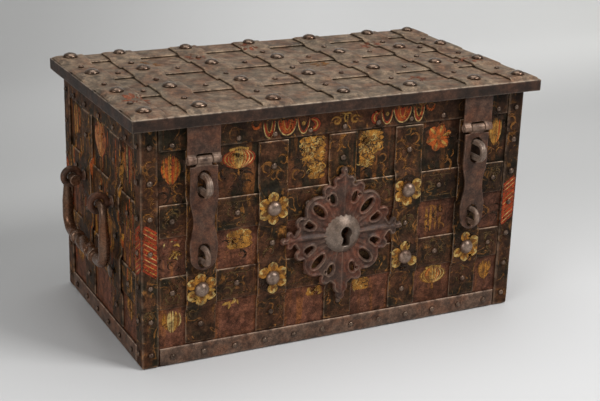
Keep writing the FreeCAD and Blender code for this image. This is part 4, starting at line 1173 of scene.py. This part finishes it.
# %% End flowers
STREAK_COUNT, STREAK_HOLD, STREAK_FOOT = 170, 0.62, 52
STREAK_REACH, STREAK_TOP, STREAK_LONG, STREAK_WIDE = 165, (120, 345), (30, 90), (2, 6)
STREAK_PAINTS = ("ochre", "amber", "amber", "orange", "brown")
END_PANELS, END_PANEL_WIDE = (-122, 0, 122), 50
END_LEAVES = ((300, 70, 9, "soot", (7, 13), 0.8), (180, 60, 6, "olive", (6, 11), 0.6))
END_FLOWERS = (
    (0.8, bulb, 8, 306, 42, 58, ("orange", "red", "red")),
    (0.8, flames, 122, 308, 34, 52, ("ochre", "gold", "orange", "brown")),
    (0.8, flames, -122, 304, 40, 62, ("ochre", "cream", "orange", "brown", "red")),
    (0.7, spray, 2, 180, 60, 34, 20, 0.1),
    (0.7, flames, 122, 76, 26, 34, ("ochre", "amber")),
    (0.7, flames, -122, 76, 30, 40, ("ochre", "amber", "brown")),
    (0.7, flames, 0, 150, 30, 44, ("ochre", "amber")),
    *((0.7, hatch, way * 169, HATCH_LOW, HATCH_HIGH, HATCH_WIDE, -way * HATCH_SLANT) for way in (-1, 1)),
)


def streaks(brush):
    """Old paint that ran down an end."""
    brush.hold = STREAK_HOLD
    for _ in range(STREAK_COUNT):
        y, top, long = wobble(STREAK_REACH), hand.uniform(*STREAK_TOP), hand.uniform(*STREAK_LONG)
        foot = (y + wobble(2), max(top - long, STREAK_FOOT))
        brush.stroke([(y, top), foot], hand.uniform(*STREAK_WIDE), hand.choice(STREAK_PAINTS), steps=16)


ends = Brush(ENDS[0])
for wall in ENDS:
    ends.surface = wall
    streaks(ends)
    for y in END_PANELS:
        for level, *leaves in END_LEAVES:
            foliage(ends, y, level, END_PANEL_WIDE, *leaves)
    paint_flowers(ends, END_FLOWERS)
print("end strokes", len(ends.colours), "points")

# %% Lid traces
LID_HOLD = 0.56
LID_STARS = ((-300, -98, 46, "rose"), (-120, 120, 40, "rose"), (-10, 150, 38, "rose"),
             (60, 20, 36, "ochre"), (205, 110, 42, "rose"), (-205, 100, 38, "ochre"),
             (300, -60, 42, "rose"), (160, -120, 36, "rose"))
lid_traces = Brush(LID)
paint_flowers(lid_traces, [(LID_HOLD, star, *row) for row in LID_STARS])
print("lid traces", len(lid_traces.colours), "points")

# %% [markdown]
# ## Flaking paint
# Old oil paint comes off in patches and leaves the ground bare. The stroke's own colour is
# dulled by grime, and two noises cut holes in it through Alpha, so the panel shows through.

# %% Paint finish
GRIME_SCALE, GRIME_RAMP, GRIME_TONE = 120.0, (0.34, 0.66, 0.06, 0.86), tone(60, 40, 27)
BROAD_SCALE, BROAD_FLAKES = 60.0, (0.31, 0.42)
FINE_SCALE, FINE_FLAKES = 380.0, (0.30, 0.46)
HOLD_GAIN, HOLD_START = 0.36, -0.32
STROKE_ROUGH, STROKE_GLOSS = 0.55, 0.12


def flaking_paint():
    material, tree, shader = new_material("flaking_paint")
    place = object_place(tree)
    paint = add(tree, "ShaderNodeAttribute", attribute_name="tint")
    grime = ramp(tree, noise(tree, place, GRIME_SCALE, detail=6.0, rough=0.75), *GRIME_RAMP)
    tree.links.new(blend(tree, grime, out(paint, "Color"), GRIME_TONE), shader.inputs["Base Color"])
    held = maths(tree, "MULTIPLY_ADD", out(paint, "Alpha"), HOLD_GAIN, HOLD_START)
    patches = maths(tree, "ADD", noise(tree, place, BROAD_SCALE, detail=4.0), held)
    broad = ramp(tree, patches, *BROAD_FLAKES)
    fine = ramp(tree, noise(tree, place, FINE_SCALE, detail=5.0, rough=0.7), *FINE_FLAKES)
    tree.links.new(maths(tree, "MULTIPLY", broad, fine), shader.inputs["Alpha"])
    shader.inputs["Roughness"].default_value = STROKE_ROUGH
    shader.inputs["Specular IOR Level"].default_value = STROKE_GLOSS
    return material


old_paint = flaking_paint()
for name, brush, body in (("front_flowers", front, "box"), ("end_flowers", ends, "box"),
                          ("lid_flowers", lid_traces, "lid")):
    mesh = brush.mesh(name)
    mesh.materials.append(old_paint)
    piece = new_object(name, mesh)
    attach(piece, body)
    print(name, len(mesh.polygons), "faces")

# %% [markdown]
# ## Stage
# The chest stands on a pale sweep, a floor that curves up into the background, so no horizon
# shows. Its colour carries painted light and shade as the camera sees it: palest at the back and at
# the right, greyer half way and at the left, which is painted shade, partly the chest's own shadow.
# Three soft square lights stand at the right, above and at the left.

# %% Sweep
SWEEP_HALF, SWEEP_FRONT, SWEEP_BACK, SWEEP_RADIUS, SWEEP_TOP = 6.0, -5.0, 1.6, 1.5, 6.0
SWEEP_STEPS, SWEEP_ROUGH, SWEEP_GLOSS = 16, 0.8, 0.1
# Along the floor, the camera's right.
VIEW_RIGHT = (0.893, -0.451)
# Painted light and shade on the floor: grey at the left and half way, pale at the back right.
LEFT_RAMP, RIGHT_RAMP = (-0.95, 0.15, 1.0, 0.0), (0.2, 1.1)
MIDDLE_RAMP, BACK_RAMP = (-0.5, 0.45), (0.75, 1.5)
NEAR_TONES = (tone(214, 214, 214), tone(206, 206, 206))
MIDDLE_TONES = (tone(196, 196, 195), tone(166, 166, 165))
BACK_TONES, BACK_LEFT = (tone(230, 230, 229), tone(246, 246, 244)), tone(178, 178, 177)


def sweep_profile():
    yield SWEEP_FRONT, 0.0
    for step in range(SWEEP_STEPS + 1):
        turn = math.pi / 2 * step / SWEEP_STEPS
        yield SWEEP_BACK + SWEEP_RADIUS * math.sin(turn), SWEEP_RADIUS * (1 - math.cos(turn))
    yield SWEEP_BACK + SWEEP_RADIUS, SWEEP_TOP


def sweep_painted_light():
    material, tree, shader = new_material("sweep")
    spot = add(tree, "ShaderNodeSeparateXYZ", {"Vector": object_place(tree)})
    x, y = out(spot, "X"), out(spot, "Y")
    across = maths(tree, "MULTIPLY_ADD", x, VIEW_RIGHT[0], maths(tree, "MULTIPLY", y, VIEW_RIGHT[1]))
    # Painted light and shade: the floor's tone falls from the back right to the left and half way.
    left, right = ramp(tree, across, *LEFT_RAMP), ramp(tree, across, *RIGHT_RAMP)
    near = blend(tree, left, *NEAR_TONES)
    middle = blend(tree, left, *MIDDLE_TONES)
    back = blend(tree, left, blend(tree, right, *BACK_TONES), BACK_LEFT)
    floor = blend(tree, ramp(tree, y, *MIDDLE_RAMP), near, middle)
    tree.links.new(blend(tree, ramp(tree, y, *BACK_RAMP), floor, back), shader.inputs["Base Color"])
    shader.inputs["Roughness"].default_value = SWEEP_ROUGH
    shader.inputs["Specular IOR Level"].default_value = SWEEP_GLOSS
    return material


profile = list(sweep_profile())
sweep_mesh = bpy.data.meshes.new("sweep")
points = [(x, y, z) for y, z in profile for x in (-SWEEP_HALF, SWEEP_HALF)]
faces = [(2 * i, 2 * i + 1, 2 * i + 3, 2 * i + 2) for i in range(len(profile) - 1)]
sweep_mesh.from_pydata(points, [], faces)
sweep_mesh.polygons.foreach_set("use_smooth", [True] * len(faces))
sweep_mesh.materials.append(sweep_painted_light())
sweep = new_object("sweep", sweep_mesh)
print("sweep", len(faces), "faces")

# %% Light
LIGHT_AIM = Vector((0, 0, 0.2))
WORLD_STRENGTH = 0.18


def soft_light(name, place, size, power):
    lamp = bpy.data.lights.new(name, "AREA")
    lamp.shape = "SQUARE"
    lamp.size = size
    lamp.energy = power
    holder = new_object(name, lamp)
    holder.location = place
    holder.rotation_euler = (LIGHT_AIM - Vector(place)).to_track_quat("-Z", "Y").to_euler()


soft_light("key", (1.6, -2.0, 2.9), 1.3, 88)
soft_light("top", (0.2, 0.4, 3.2), 2.4, 44)
soft_light("fill", (-2.8, -1.6, 1.6), 2.0, 45)
world = bpy.data.worlds.new("studio")
scene.world = world
world.use_nodes = True
sky = world.node_tree.nodes["Background"]
sky.inputs["Color"].default_value = (1.0, 1.0, 1.0, 1.0)
sky.inputs["Strength"].default_value = WORLD_STRENGTH
print("lights", sorted(lamp.name for lamp in bpy.data.lights))

# %% [markdown]
# Last, the scene is brought up to date. The dressed chest has to stay inside the box of its
# solids.

# %% Finish
bpy.context.view_layer.update()
